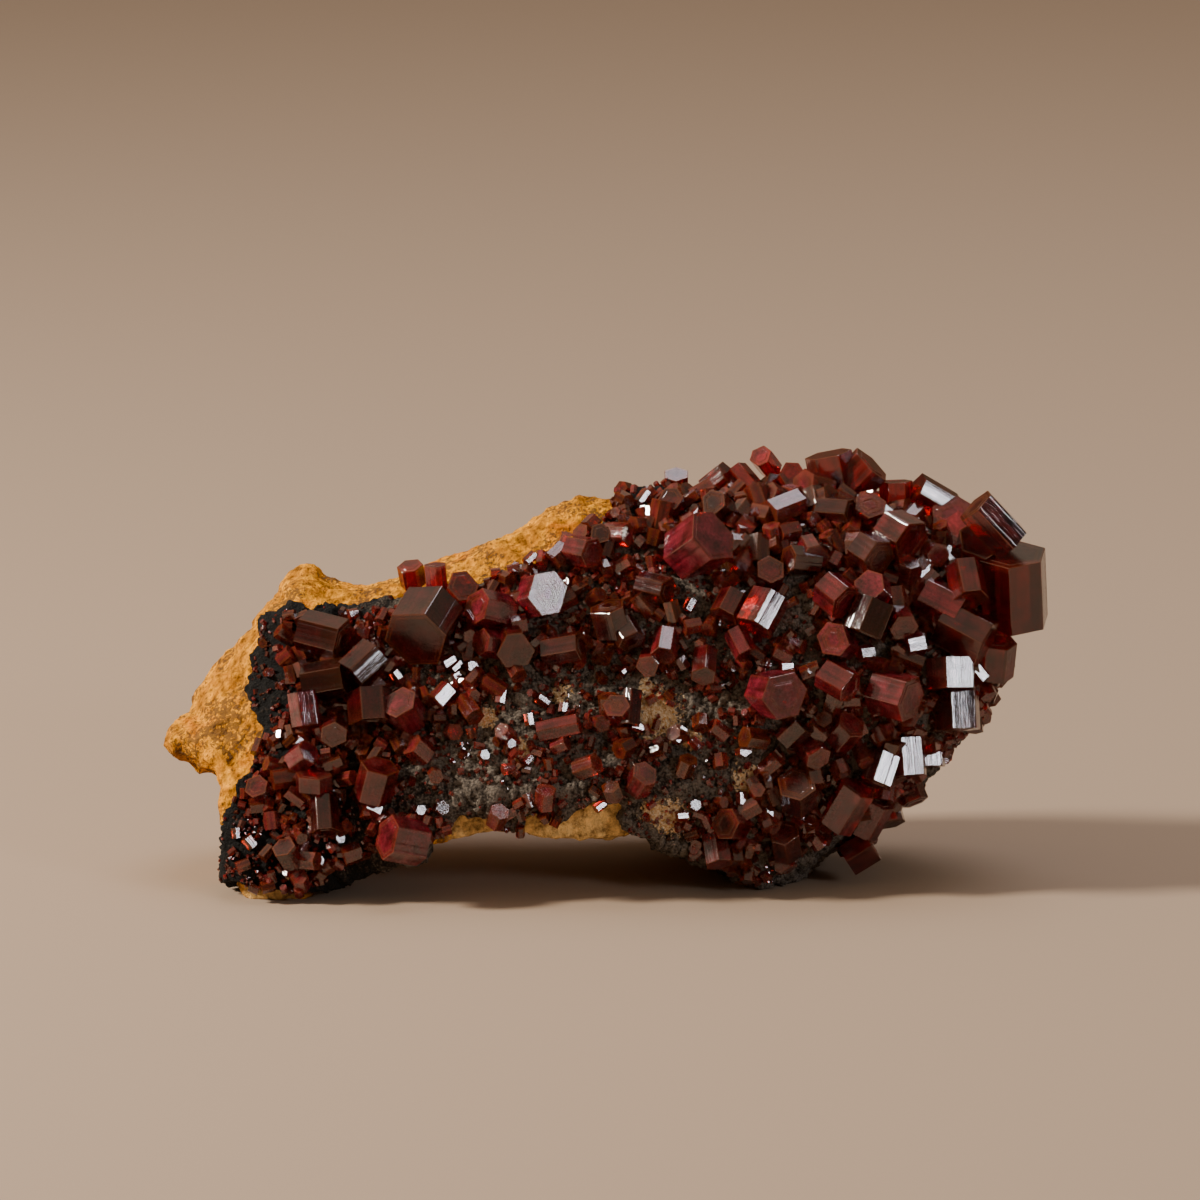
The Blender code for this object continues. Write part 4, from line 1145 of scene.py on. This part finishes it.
@dataclass(frozen=True)
class Vanadinite:
    """Vanadinite, a lead chlorovanadate: an adamantine gloss, dark red in the thick, orange where thin,
    with a painted orange glow along its edges.
    """

    core: str = "5e1618"
    body: str = "d23a42"
    crimson: str = "ff5470"
    # The painted glow along the crystals' edges, as if light passed through them.
    edge: str = "f0843c"
    band: str = "b4a8a6"  # the shade of a growth band
    cloud: str = "8e8a8a"  # and of a cloudy place
    depths: str = "f32519"  # the colour that is left as light goes through the thick of a crystal
    density: float = 900.0
    roughness: float = 0.07
    least_rough: float = 0.5  # in the grooves, as a share of the roughness
    most_rough: float = 2.4
    rough_from: tuple[float, float] = (0.35, 0.75)  # the groove pattern's values at the two
    ior: float = 1.8
    transmission: float = 0.83
    groove_span: float = 0.13  # mm, wider than the finest real grooves so that they show
    band_span: float = 0.4  # mm
    cloud_span: float = 1.6  # mm
    relief: float = 0.014  # mm
    bump: float = 0.75

    def material(self) -> bpy.types.Material:
        """Make the finish.

        Returns:
            Its material.
        """
        made, tree, shader = blank_material("vanadinite")
        place = add_node(tree, "NewGeometry").outputs["Position"]
        clear = add_node(tree, "Attribute", {"attribute_name": "clear"}).outputs["Fac"]
        tint = add_node(tree, "Attribute", {"attribute_name": "tint"}).outputs["Fac"]
        grooves = add_node(tree, "UVMap", {"uv_map": "grooves"}).outputs["UV"]
        stops = {0.0: self.core, 0.5: self.body, 1.0: self.crimson}
        shade = add_node(tree, "ValToRGB", {"stops": stops}, Fac=tint).outputs["Color"]
        bands = add_node(tree, "TexNoise", Vector=grooves, Scale=1 / self.band_span, Detail=3.0)
        clouds = add_node(tree, "TexNoise", Vector=place, Scale=1 / (self.cloud_span * MM), Detail=3.0)
        for pattern, stops in (
            (bands, {0.34: self.band, 0.6: "ffffff"}), (clouds, {0.34: self.cloud, 0.64: "ffffff"})
        ):
            veil = add_node(tree, "ValToRGB", {"stops": stops}, Fac=pattern.outputs["Fac"]).outputs["Color"]
            shade = add_node(tree, "Mix", MULTIPLY, s0=1.0, s6=shade, s7=veil).outputs[MIXED]
        # Painted glow: the colour turns orange towards the edges, as if light passed through them.
        colour = add_node(tree, "Mix", MIX, s0=clear, s6=shade, s7=to_linear(self.edge))
        fine = add_node(tree, "TexNoise", Vector=grooves, Scale=1 / self.groove_span, Detail=3.0,
                        Roughness=0.6)
        low, high = self.rough_from
        rough = add_node(tree, "MapRange", Value=fine.outputs["Fac"], From_Min=low, From_Max=high,
                         To_Min=self.roughness * self.least_rough, To_Max=self.roughness * self.most_rough)
        bump = add_node(tree, "Bump", Height=fine.outputs["Fac"], Strength=self.bump,
                        Distance=self.relief * MM)
        connect(shader, Base_Color=colour.outputs[MIXED], Roughness=rough.outputs["Result"], IOR=self.ior,
                Transmission_Weight=self.transmission, Normal=bump.outputs["Normal"])
        depths = add_node(tree, "VolumeAbsorption", Color=to_linear(self.depths), Density=self.density)
        connect(tree.nodes["Material Output"], Volume=depths.outputs["Volume"])
        return made


def dense_copy(node: bpy.types.Object, name: str, voxel: float) -> bpy.types.Object:
    """A fine even skin over one of the frame's solids.

    Args:
        node: the solid.
        name: the piece's name.
        voxel: the skin's face size, in millimetres.

    Returns:
        The piece, with a mesh of its own.
    """
    bm = bmesh.new()
    bm.from_mesh(node.data)
    bmesh.ops.remove_doubles(bm, verts=bm.verts, dist=WELD)
    mesh = bpy.data.meshes.new(name)
    bm.to_mesh(mesh)
    bm.free()
    made = new_object(name, mesh)
    remesh = made.modifiers.new("skin", "REMESH")
    remesh.mode = "VOXEL"
    remesh.voxel_size = voxel * MM
    depsgraph = bpy.context.evaluated_depsgraph_get()
    fine = bpy.data.meshes.new_from_object(made.evaluated_get(depsgraph))
    made.modifiers.clear()
    made.data = fine
    bpy.data.meshes.remove(mesh)
    return made


def shape_skin(
    mesh: bpy.types.Mesh, places: list[Vector], material: bpy.types.Material, **values: list[float]
) -> None:
    """Give a skin its relief and its finish.

    Args:
        mesh: the skin.
        places: where its points move to, in metres.
        material: its finish.
        values: what the finish reads, by point.
    """
    for vert, place in zip(mesh.vertices, places):
        vert.co = place
    set_values(mesh, **values)
    mesh.polygons.foreach_set("use_smooth", [True] * len(mesh.polygons))
    mesh.materials.append(material)
    mesh.update()


def settle(piece: bpy.types.Object, slot: str, *nodes: str) -> None:
    """Fix a piece to the specimen.

    Args:
        piece: the piece.
        slot: not used.
        nodes: the solids that it stands for.
    """
    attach(piece, ROOT)
    if nodes:
        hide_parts(*nodes)
    log.info("%s: %d faces", piece.name, len(piece.data.polygons))


@dataclass
class Rock:
    """The ochre matrix rock, with its pits and grain, and its low face drawn paler, partly as painted
    light.
    """

    voxel: float = 0.38
    pit_span: float = 2.6
    pit_depth: float = 0.6
    unpitted: float = 0.1  # the higher, the fewer the pits
    ripple_span: float = 2.2
    ripple_height: float = 0.38
    ripple_level: float = 0.4  # where a ripple's flank passes through the solid's face
    grain_span: float = 0.9
    grain_height: float = 0.16
    bleach: float = 2.0  # how soon a paler low patch, partly painted light, is at its palest
    palest: float = 0.9

    def build(self, node: bpy.types.Object, material: bpy.types.Material) -> bpy.types.Object:
        """Build the rock.

        Args:
            node: the rock's solid.
            material: its finish.

        Returns:
            The piece.
        """
        piece = dense_copy(node, "ochre_matrix", self.voxel)
        places = []
        bleached = []
        for vert in piece.data.vertices:
            point = vert.co / MM + FOOTPRINT
            pit = min(0.0, fractal(point, self.pit_span, PITS) + self.unpitted) * self.pit_depth
            flank = self.ripple_level - abs(fractal(point, self.ripple_span, RIPPLES))
            grain = fractal(point, self.grain_span, GRAIN) * self.grain_height
            seen = VIEW.seen_at(point)
            hollow = max(patch.share(*seen) * depth for patch, depth in HOLLOWS.items())
            place = vert.co + vert.normal * (pit + flank * self.ripple_height + grain - hollow) * MM
            place.z = max(place.z, 0.0)
            places.append(place)
            # Paler along the low face: partly its own tone, partly painted light.
            bleached.append(min(self.palest, self.bleach * seen_in(PALE_AND_LIT_LOW, point)))
        shape_skin(piece.data, places, material, bleached=bleached)
        settle(piece, "ochre_limonite", node.name)
        return piece


@dataclass
class Crust:
    """The black crust over the front, the top and the right end of the rock."""

    voxel: float = 0.25
    lift: float = 1.45  # its face above the rock
    sunk: float = 0.8  # how far its border dips into the rock
    probe: float = 2.6  # how far out the crust's solid is looked for
    blur_rounds: int = 12
    ragged: float = 0.5
    ragged_span: float = 1.6
    brink: tuple[float, float] = (0.3, 0.62)  # where on its border it starts and is at full thickness
    lump_height: float = 0.35
    lump_span: float = 3.2
    knob_height: float = 0.3
    knob_span: float = 1.1
    grit_height: float = 0.28
    grit_span: float = 0.5
    thin_grit: float = 0.3  # how much of the grit is left where the crust runs out
    dusty: tuple[float, float] = (-31.0, -14.0)  # the crust greys from the first x to the second
    clean_top: tuple[float, float] = (33.0, 37.0)  # and darkens again from the first height to the second
    dust: float = 2.0
    dust_middle: float = 0.45
    palest: float = 0.9
    above_floor: float = 0.1
    stray: float = 0.15  # how far a crystal's place strays from the middle of a face
    full: float = 0.93  # from this share of the full thickness on, crystals may stand on it

    def build(
        self, node: bpy.types.Object, rock: bpy.types.Object, material: bpy.types.Material
    ) -> "CrustFace":
        """Build the crust.

        Args:
            node: the crust's solid.
            rock: the rock's solid.
            material: its finish.

        Returns:
            The places on it where crystals may stand.
        """
        piece = dense_copy(rock, "black_crust_skin", self.voxel)
        mesh = piece.data
        share = self.cover(mesh, node)
        places = []
        pale = []
        stand = []
        ground = []
        for vert, amount in zip(mesh.vertices, share):
            point = vert.co / MM + FOOTPRINT
            border = min(1.0, 4 * amount * (1 - amount))
            edge = amount + self.ragged * border * fractal(point, self.ragged_span, RAGGED)
            thick = smooth_step(*self.brink, edge)
            lump = self.lump_height * abs(fractal(point, self.lump_span, LUMPS))
            knob = self.knob_height * fractal(point, self.knob_span, KNOBS)
            grain = fractal(point, self.grit_span, GRIT)
            grit = self.grit_height * grain * (self.thin_grit + (1 - self.thin_grit) * thick)
            dust = smooth_step(*self.dusty, point.x) * (1 - smooth_step(*self.clean_top, point.z))
            # What stands out: raised grains and knobs, which the finish paints paler as a highlight, and
            # the greying by place.
            stand.append(grain + knob + self.dust * (dust - self.dust_middle))
            rise = thick * (self.lift + self.sunk + lump + knob) + grit - self.sunk
            place = vert.co + vert.normal * rise * MM
            place.z = max(place.z, self.above_floor * MM)
            places.append(place)
            pale.append(seen_in(PALE, point) * self.palest)
            ground.append((thick, vert.normal.copy()))
        shape_skin(mesh, places, material, pale=pale, stand=stand)
        face = CrustFace()
        rng = random.Random("crust")
        for polygon in mesh.polygons:
            corners = [ground[i] for i in polygon.vertices]
            if min(thick for thick, _ in corners) >= self.full:
                stray = Vector(rng.uniform(-1, 1) for _ in range(3)) * self.stray
                spot = polygon.center / MM + FOOTPRINT + stray
                normal = sum((n for _, n in corners), Vector()).normalized()
                face.spots.append((spot, normal))
        face.index()
        self.drop_bare(mesh, [thick for thick, _ in ground])
        mesh.update()
        settle(piece, "manganese_oxide_crust", node.name)
        return face

    def cover(self, mesh: bpy.types.Mesh, node: bpy.types.Object) -> np.ndarray:
        """Where the crust covers the rock.

        Args:
            mesh: the rock's fine skin.
            node: the crust's solid.

        Returns:
            For each point from 0, bare, to 1, covered, blurred at the border.
        """
        tree = surface_of(node)
        share = np.zeros(len(mesh.vertices))
        for index, vert in enumerate(mesh.vertices):
            hit = tree.ray_cast(vert.co, vert.normal, self.probe * MM)[0]
            face = vert.co / MM + FOOTPRINT + vert.normal * self.lift
            share[index] = float(hit is not None and is_within(CRUST_BORDER, *VIEW.seen_at(face)))
        edges = np.zeros(len(mesh.edges) * 2, dtype=np.int64)
        mesh.edges.foreach_get("vertices", edges)
        edges = edges.reshape(-1, 2)
        count = np.bincount(edges.ravel(), minlength=len(share))
        for _ in range(self.blur_rounds):
            total = np.zeros_like(share)
            np.add.at(total, edges[:, 0], share[edges[:, 1]])
            np.add.at(total, edges[:, 1], share[edges[:, 0]])
            share = 0.5 * share + 0.5 * total / np.maximum(count, 1)
        return share

    def drop_bare(self, mesh: bpy.types.Mesh, thick: list[float]) -> None:
        """Delete the skin where there is no crust.

        Args:
            mesh: the skin.
            thick: for each point, the share of the crust's full thickness there.
        """
        bm = bmesh.new()
        bm.from_mesh(mesh)
        bm.faces.ensure_lookup_table()
        bare = [face for face in bm.faces if max(thick[vert.index] for vert in face.verts) <= 0.0]
        bmesh.ops.delete(bm, geom=bare, context="FACES")
        bm.to_mesh(mesh)
        bm.free()


@dataclass
class CrustFace:
    """The places on the crust where small crystals may stand, in the layout frame."""

    spots: list = field(default_factory=list)
    tree: KDTree | None = None

    def index(self) -> None:
        """Make the places quick to search."""
        self.tree = KDTree(len(self.spots))
        for number, (spot, _) in enumerate(self.spots):
            self.tree.insert(spot, number)
        self.tree.balance()

    def shuffled(self, seed: str) -> Iterator[tuple[Vector, Vector]]:
        """Go through the places by chance.

        Args:
            seed: which order.

        Yields:
            Each place with the crust's normal there.
        """
        order = list(range(len(self.spots)))
        random.Random(seed).shuffle(order)
        for number in order:
            yield self.spots[number]

    def beside(self, spot: Vector, normal: Vector, away: float, turn: float) -> tuple[Vector, Vector]:
        """The place a little way along the crust from another.

        Args:
            spot: the first place.
            normal: the crust's normal there.
            away: how far off the other is.
            turn: in which direction, in radians.

        Returns:
            The other place and the normal there.
        """
        side = normal.orthogonal().normalized()
        side.rotate(Matrix.Rotation(turn, 3, normal))
        return self.spots[self.tree.find(spot + side * away)[1]]


@dataclass
class LargeCrystals:
    """The large crystals, one piece for each of their solids."""

    skin: CrustSkin
    prisms: list = field(default_factory=list)
    tints: tuple[float, float] = (0.05, 0.8)
    under_cap: float = 0.4

    def build(self, nodes: dict[str, bpy.types.Object], material: bpy.types.Material) -> None:
        """Build every large crystal on the solid that it belongs to.

        Args:
            nodes: the solids of the large crystals by name.
            material: their finish.
        """
        trees = {name: surface_of(node) for name, node in nodes.items()}
        groups = {name: CrystalMesh() for name in nodes}
        for region, items in LARGE.items():
            for number, item in enumerate(items, 1):
                seed = f"{region}_{number:02d}"
                middle = self.skin.middle_of(item)
                prism = Prism(item.axes(), middle, item.width, item.length, item.roll, seed, Growth.LARGE)
                if item.shine:
                    prism = prism.turned(item.shine, FRONT_LAMP.way())
                self.prisms.append(prism)
                chance = random.Random(f"tint {seed}").uniform(*self.tints)
                tint = chance if item.tint is None else item.tint
                prism.add_to(groups[self.owner(prism, trees)], tint)
        for name, batch in groups.items():
            if batch.points:
                piece = batch.to_object(f"vanadinite_{name.split('_', 1)[1]}", material)
                settle(piece, "vanadinite", name)
            else:
                log.warning("no crystal was found for %s", name)

    def owner(self, prism: Prism, trees: dict[str, BVHTree]) -> str:
        """The solid that a crystal belongs to.

        Args:
            prism: the crystal.
            trees: the solids' surfaces.

        Returns:
            The name of the solid that holds a point just under the crystal's cap.
        """
        inside = prism.middle + prism.axes[2] * (prism.length / 2 - self.under_cap)
        point = (inside - FOOTPRINT) * MM
        best = None
        for name, tree in trees.items():
            place, normal, _, away = tree.find_nearest(point)
            depth = (point - place).dot(normal)
            key = away if depth > 0 else -1 / (away + MM)
            if best is None or key < best[0]:
                best = (key, name)
        return best[1]


@dataclass
class SmallCrystals:
    """The small crystals on the crust: those at known places, then clumps and single ones between them."""

    skin: CrustSkin
    large: list
    taken: dict = field(default_factory=dict)  # the crystals that stand already, by grid cell
    tints: tuple[float, float] = (0.1, 0.9)
    fine_tints: tuple[float, float] = (0.1, 0.8)
    known_tilt: float = 75.0
    shining: tuple = (0.06, 0.6, 0.06, 0.2, 0.08)  # how often each of Shine's ways is found
    clumps: int = 430
    clump_size: tuple[int, int] = (3, 10)
    clump_spread: float = 1.1  # how far apart a clump's crystals are, as a share of the middle one's width
    clump_widths: tuple[float, float] = (1.0, 2.0)
    member_share: tuple[float, float] = (0.4, 0.8)  # a clump's other crystals against its middle one
    member_away: tuple[float, float] = (0.5, 1.0)
    coarser: float = 0.3  # how much wider the crystals are at the right end
    coarser_from: tuple[float, float] = (-2.0, 24.0)
    coarser_above: tuple[float, float] = (28.0, 36.0)
    finer: float = 0.5  # how much narrower they are where they stand thinly
    clump_tilt: float = 88.0
    strewn: int = 1200
    widths: tuple[float, float] = (0.4, 1.2)
    small_bias: float = 1.8  # the higher, the more of them are small
    apart: float = 0.42  # the least distance between two, as a share of their widths
    off_large: float = 0.1  # and from a large crystal
    drift_span: float = 5.0
    drift_level: float = 0.6  # how thickly they stand between a drift and a gap
    drift_swing: float = 1.1
    thinned: float = 0.9
    thinnest: float = 0.04
    bare_share: float = 2.2  # how soon a bare patch is quite bare
    strewn_least: float = 0.1
    left_edge: tuple[float, float] = (-36.8, -34.0)  # where the crystals begin
    drawn_whole: float = 0.9  # from this width on, a crystal has a rim of its own round its faces
    specks: int = 3400
    speck_widths: tuple[float, float] = (0.18, 0.36)
    speck_drift_span: float = 2.5
    speck_level: float = 0.25
    speck_swing: float = 0.9
    glint_crowd: float = 4.0  # how much more thickly specks stand in a glint
    glitter: float = 1.1  # how often a speck shines in the middle of a glint

    def build(self, face: CrustFace, material: bpy.types.Material) -> None:
        """Build the small crystals and the druse.

        Args:
            face: the places where they may stand.
            material: their finish.
        """
        names = ("clumped_vanadinite", "strewn_vanadinite", "vanadinite_druse")
        batches = {name: CrystalMesh() for name in names}
        clumped, strewn, druse = batches.values()
        self.add_known(clumped)
        self.add_clumps(clumped, face)
        self.add_strewn(strewn, face)
        self.add_specks(druse, face)
        for name, batch in batches.items():
            settle(batch.to_object(name, material), "vanadinite")

    def add(self, batch: CrystalMesh, prism: Prism, tint: float) -> bool:
        """Add a crystal unless it would poke through the floor or out over the outline.

        Args:
            batch: the mesh being gathered.
            prism: the crystal.
            tint: its shade.

        Returns:
            Whether it was added.
        """
        if prism.lowest() < 0.0 or prism.is_seen_outside():
            return False
        prism.add_to(batch, tint)
        self.taken.setdefault(self.cell(prism.middle), []).append((prism.middle, prism.width))
        return True

    def add_known(self, batch: CrystalMesh) -> None:
        """Add the small crystals at known places.

        Args:
            batch: the mesh being gathered.
        """
        for index, (across, up, width) in enumerate(SMALL + LESSER):
            line = VIEW.line(across, up)
            hit, normal = self.skin.tree.ray_cast(VIEW.eye, line)[:2]
            if hit is None:
                continue
            rng = random.Random(f"known {index}")
            seed = f"small {index}"
            prism = self.skin.small_prism(seed, hit, normal, width, self.known_tilt, Growth.SMALL)
            if index >= len(SMALL):
                shine = rng.choices(list(Shine), self.shining)[0]
                prism = prism.turned(shine, FRONT_LAMP.way())
            self.add(batch, prism, rng.uniform(*self.tints))

    def add_clumps(self, batch: CrystalMesh, face: CrustFace) -> None:
        """Add clumps of crystals grown into each other.

        Args:
            batch: the mesh being gathered.
            face: the places where they may stand.
        """
        rng = random.Random("clumps")
        added = 0
        for spot, normal in face.shuffled("clumps"):
            if added >= self.clumps:
                break
            coarser = 1 + self.coarser * smooth_step(*self.coarser_from, spot.x)
            coarser += self.coarser * smooth_step(*self.coarser_above, spot.z)
            coarser -= self.finer * front_seen_in(SPARSE, spot)
            width = rng.uniform(*self.clump_widths) * coarser
            if rng.random() > self.thickness_at(spot) or self.is_taken(spot, width):
                continue
            added += 1
            for member in range(rng.randint(*self.clump_size)):
                place, there = spot, normal
                across = width
                if member:
                    across = width * rng.uniform(*self.member_share)
                    away = width * self.clump_spread * rng.uniform(*self.member_away)
                    place, there = face.beside(spot, normal, away, rng.uniform(0, math.tau))
                prism = self.strewn_prism(f"clump {added} {member}", place, there, across)
                if not self.under_large(prism.middle, 0.0):
                    self.add(batch, prism, rng.uniform(*self.tints))
        log.info("clumps: %d", added)

    def strewn_prism(self, seed: str, spot: Vector, normal: Vector, width: float) -> Prism:
        """A small crystal of a clump or on its own, drawn as whole as its width asks for."""
        growth = Growth.SMALL if width >= self.drawn_whole else Growth.SPECK
        return self.skin.small_prism(seed, spot, normal, width, self.clump_tilt, growth)

    def under_large(self, place: Vector, spare: float) -> bool:
        """Whether a large crystal takes up a place."""
        return any(prism.holds(place, spare) for prism in self.large)

    def add_strewn(self, batch: CrystalMesh, face: CrustFace) -> None:
        """Strew small crystals over the crust, thick in drifts and thin on bare places.

        Args:
            batch: the mesh being gathered.
            face: the places where they may stand.
        """
        rng = random.Random("strewn")
        added = 0
        for spot, normal in face.shuffled("strewn"):
            if added >= self.strewn:
                break
            low, high = self.widths
            width = low + (high - low) * rng.random() ** self.small_bias
            if rng.random() > self.strewn_least + self.thickness_at(spot) or self.is_taken(spot, width):
                continue
            prism = self.strewn_prism(f"strewn {added}", spot, normal, width)
            added += self.add(batch, prism, rng.uniform(*self.fine_tints))
        log.info("strewn crystals: %d", added)

    def thickness_at(self, spot: Vector) -> float:
        """How thickly crystals stand at a place.

        Args:
            spot: the place on the crust.

        Returns:
            A share from 0 to 1.
        """
        drift = self.drift_level + self.drift_swing * fractal(spot, self.drift_span, DRIFTS)
        drift -= self.thinned * front_seen_in(SPARSE, spot)
        bare = min(1.0, self.bare_share * front_seen_in(BARE, spot))
        return min(1.0, max(self.thinnest, drift)) * (1 - bare) * smooth_step(*self.left_edge, spot.x)

    def cell(self, place: Vector) -> tuple[int, int, int]:
        """The grid cell that a place is in."""
        return tuple(math.floor(value / self.clump_widths[1]) for value in place)

    def is_taken(self, spot: Vector, width: float) -> bool:
        """Whether a crystal would stand on another.

        Args:
            spot: where it would stand.
            width: how wide it is.

        Returns:
            True if a small or a large crystal is there already.
        """
        x, y, z = self.cell(spot)
        for cell in product((x - 1, x, x + 1), (y - 1, y, y + 1), (z - 1, z, z + 1)):
            for place, other in self.taken.get(cell, ()):
                if (place - spot).length < self.apart * (width + other):
                    return True
        return self.under_large(spot, self.off_large * width)

    def add_specks(self, batch: CrystalMesh, face: CrustFace) -> None:
        """Add the druse: specks of crystal that sparkle between the others.

        Args:
            batch: the mesh being gathered.
            face: the places where they may stand.
        """
        rng = random.Random("specks")
        added = 0
        for spot, normal in face.shuffled("specks"):
            if added >= self.specks:
                break
            glint = front_seen_in(GLINTS, spot)
            drift = self.speck_swing * fractal(spot, self.speck_drift_span, DRUSE)
            if rng.random() > self.speck_level + drift + self.glint_crowd * glint:
                continue
            prism = self.strewn_prism(f"speck {added}", spot, normal, rng.uniform(*self.speck_widths))
            if rng.random() < self.glitter * glint:
                prism = prism.turned(rng.choice((Shine.SIDE, Shine.STREAKS)), FRONT_LAMP.way())
            if prism.lowest() > 0.0 and not prism.is_seen_outside():
                prism.add_to(batch, rng.uniform(*self.fine_tints))
                added += 1
        log.info("specks: %d", added)


@dataclass(frozen=True)
class Light:
    """A soft lamp, by where it stands round the specimen. Lengths are in metres."""

    name: str
    azimuth: float  # degrees from straight in front, positive to the right
    elevation: float
    distance: float
    size: float
    power: float
    colour: str

    def way(self) -> Vector:
        """The direction to the lamp.

        Returns:
            A direction of length 1.
        """
        turn = math.radians(self.azimuth)
        rise = math.radians(self.elevation)
        return Vector((math.sin(turn) * math.cos(rise), -math.cos(turn) * math.cos(rise), math.sin(rise)))

    def place(self, aim: Vector) -> bpy.types.Object:
        """Set the lamp up.

        Args:
            aim: what it shines at.

        Returns:
            The lamp.
        """
        lamp = bpy.data.lights.new(self.name, "AREA")
        lamp.shape = "SQUARE"
        lamp.size = self.size
        lamp.energy = self.power
        lamp.color = to_linear(self.colour)[:3]
        made = new_object(self.name, lamp)
        way = self.way()
        made.location = aim + way * self.distance
        made.rotation_euler = (-way).to_track_quat("-Z", "Y").to_euler()
        return made


FRONT_LAMP = Light("front_softbox", 50.0, 18.0, 0.9, 0.15, 1.7, "f6f6ff")


@dataclass
class Studio:
    """A pale floor that turns up into a low wall all round, soft light and the camera."""

    floor: str = "9f8a75"
    floor_roughness: float = 0.9
    room: str = "c9b49c"
    room_low: float = 0.15  # how bright the room is level with the specimen
    room_high: float = 1.1  # and where it is brightest
    bright_way: tuple = (-0.35, 0.2, 0.91)
    aim: tuple = (0.0, 0.0, 0.02)
    sensor: float = 36.0  # mm
    nearest: float = 0.01
    flat_radius: float = 1.4
    bend: float = 0.7
    bend_steps: int = 8
    segments: int = 96
    lights: tuple = (
        Light("key_softbox", -80.0, 30.0, 0.75, 0.09, 11.5, "fff4e6"),
        Light("top_softbox", 150.0, 72.0, 0.9, 0.55, 3.4, "f2f2ff"),
        FRONT_LAMP,
    )

    def build(self) -> None:
        """Set up the floor, the light and the camera."""
        self.make_floor()
        world = bpy.data.worlds.new("room")
        world.use_nodes = True
        tree = world.node_tree
        way = add_node(tree, "TexCoord").outputs["Generated"]
        rise = add_node(tree, "VectorMath", {"operation": "DOT_PRODUCT"}, s0=way, s1=self.bright_way)
        strength = add_node(tree, "MapRange", Value=rise.outputs["Value"], To_Min=self.room_low,
                            To_Max=self.room_high)
        connect(tree.nodes["Background"], Color=to_linear(self.room), Strength=strength.outputs["Result"])
        bpy.context.scene.world = world
        for light in self.lights:
            light.place(Vector(self.aim))
        self.make_camera()

    def profile(self) -> list[tuple[float, float]]:
        """The floor's section: flat, then a bend upwards.

        Returns:
            The radius and the height of each ring.
        """
        points = []
        for step in range(self.bend_steps + 1):
            angle = math.pi / 2 * step / self.bend_steps
            radius = self.flat_radius + self.bend * math.sin(angle)
            points.append((radius, self.bend * (1 - math.cos(angle))))
        return points

    def make_floor(self) -> None:
        """A round dish of pale board."""
        bm = bmesh.new()
        rings = []
        turns = [math.tau * k / self.segments for k in range(self.segments)]
        for radius, height in self.profile():
            ring = [(radius * math.cos(turn), radius * math.sin(turn), height) for turn in turns]
            rings.append([bm.verts.new(place) for place in ring])
        bm.faces.new(rings[0])
        for low, high in zip(rings, rings[1:]):
            for k in range(self.segments):
                bm.faces.new((low[k - 1], low[k], high[k], high[k - 1]))
        mesh = bpy.data.meshes.new("floor")
        bm.to_mesh(mesh)
        bm.free()
        made, _, shader = blank_material("pale_board")
        connect(shader, Base_Color=to_linear(self.floor), Roughness=self.floor_roughness)
        mesh.materials.append(made)
        new_object("floor", mesh)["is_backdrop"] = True

    def make_camera(self) -> None:
        """The camera at the eye point that the crystals are laid out from."""
        data = bpy.data.cameras.new("camera")
        data.sensor_width = self.sensor
        data.lens = self.sensor * VIEW.distance / VIEW.frame_width
        data.clip_start = self.nearest
        camera = new_object("camera", data)
        camera.location = (VIEW.eye - FOOTPRINT) * MM
        camera.rotation_euler = (-VIEW.toward).to_track_quat("-Z", "Y").to_euler()
        bpy.context.scene.camera = camera


def main() -> None:
    """Dress the specimen and set up the studio."""
    logging.basicConfig(level=logging.INFO, format="%(name)s: %(message)s")
    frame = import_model()
    solid_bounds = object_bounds()
    nodes = frame["nodes"]
    rock = nodes["matrix_rock"]
    crust = nodes["black_crust"]
    crystals = {name: node for name, node in nodes.items() if name.startswith(("crystal_", "cluster_"))}
    skin = CrustSkin(rock)
    vanadinite = Vanadinite().material()
    Rock().build(rock, OchreLimonite().material())
    face = Crust().build(crust, rock, ManganeseCrust().material())
    large = LargeCrystals(skin)
    large.build(crystals, vanadinite)
    SmallCrystals(skin, large.prisms).build(face, vanadinite)
    Studio().build()
    [[list(corner) for corner in box] for box in (solid_bounds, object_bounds())]


if __name__ == "__main__":
    main()
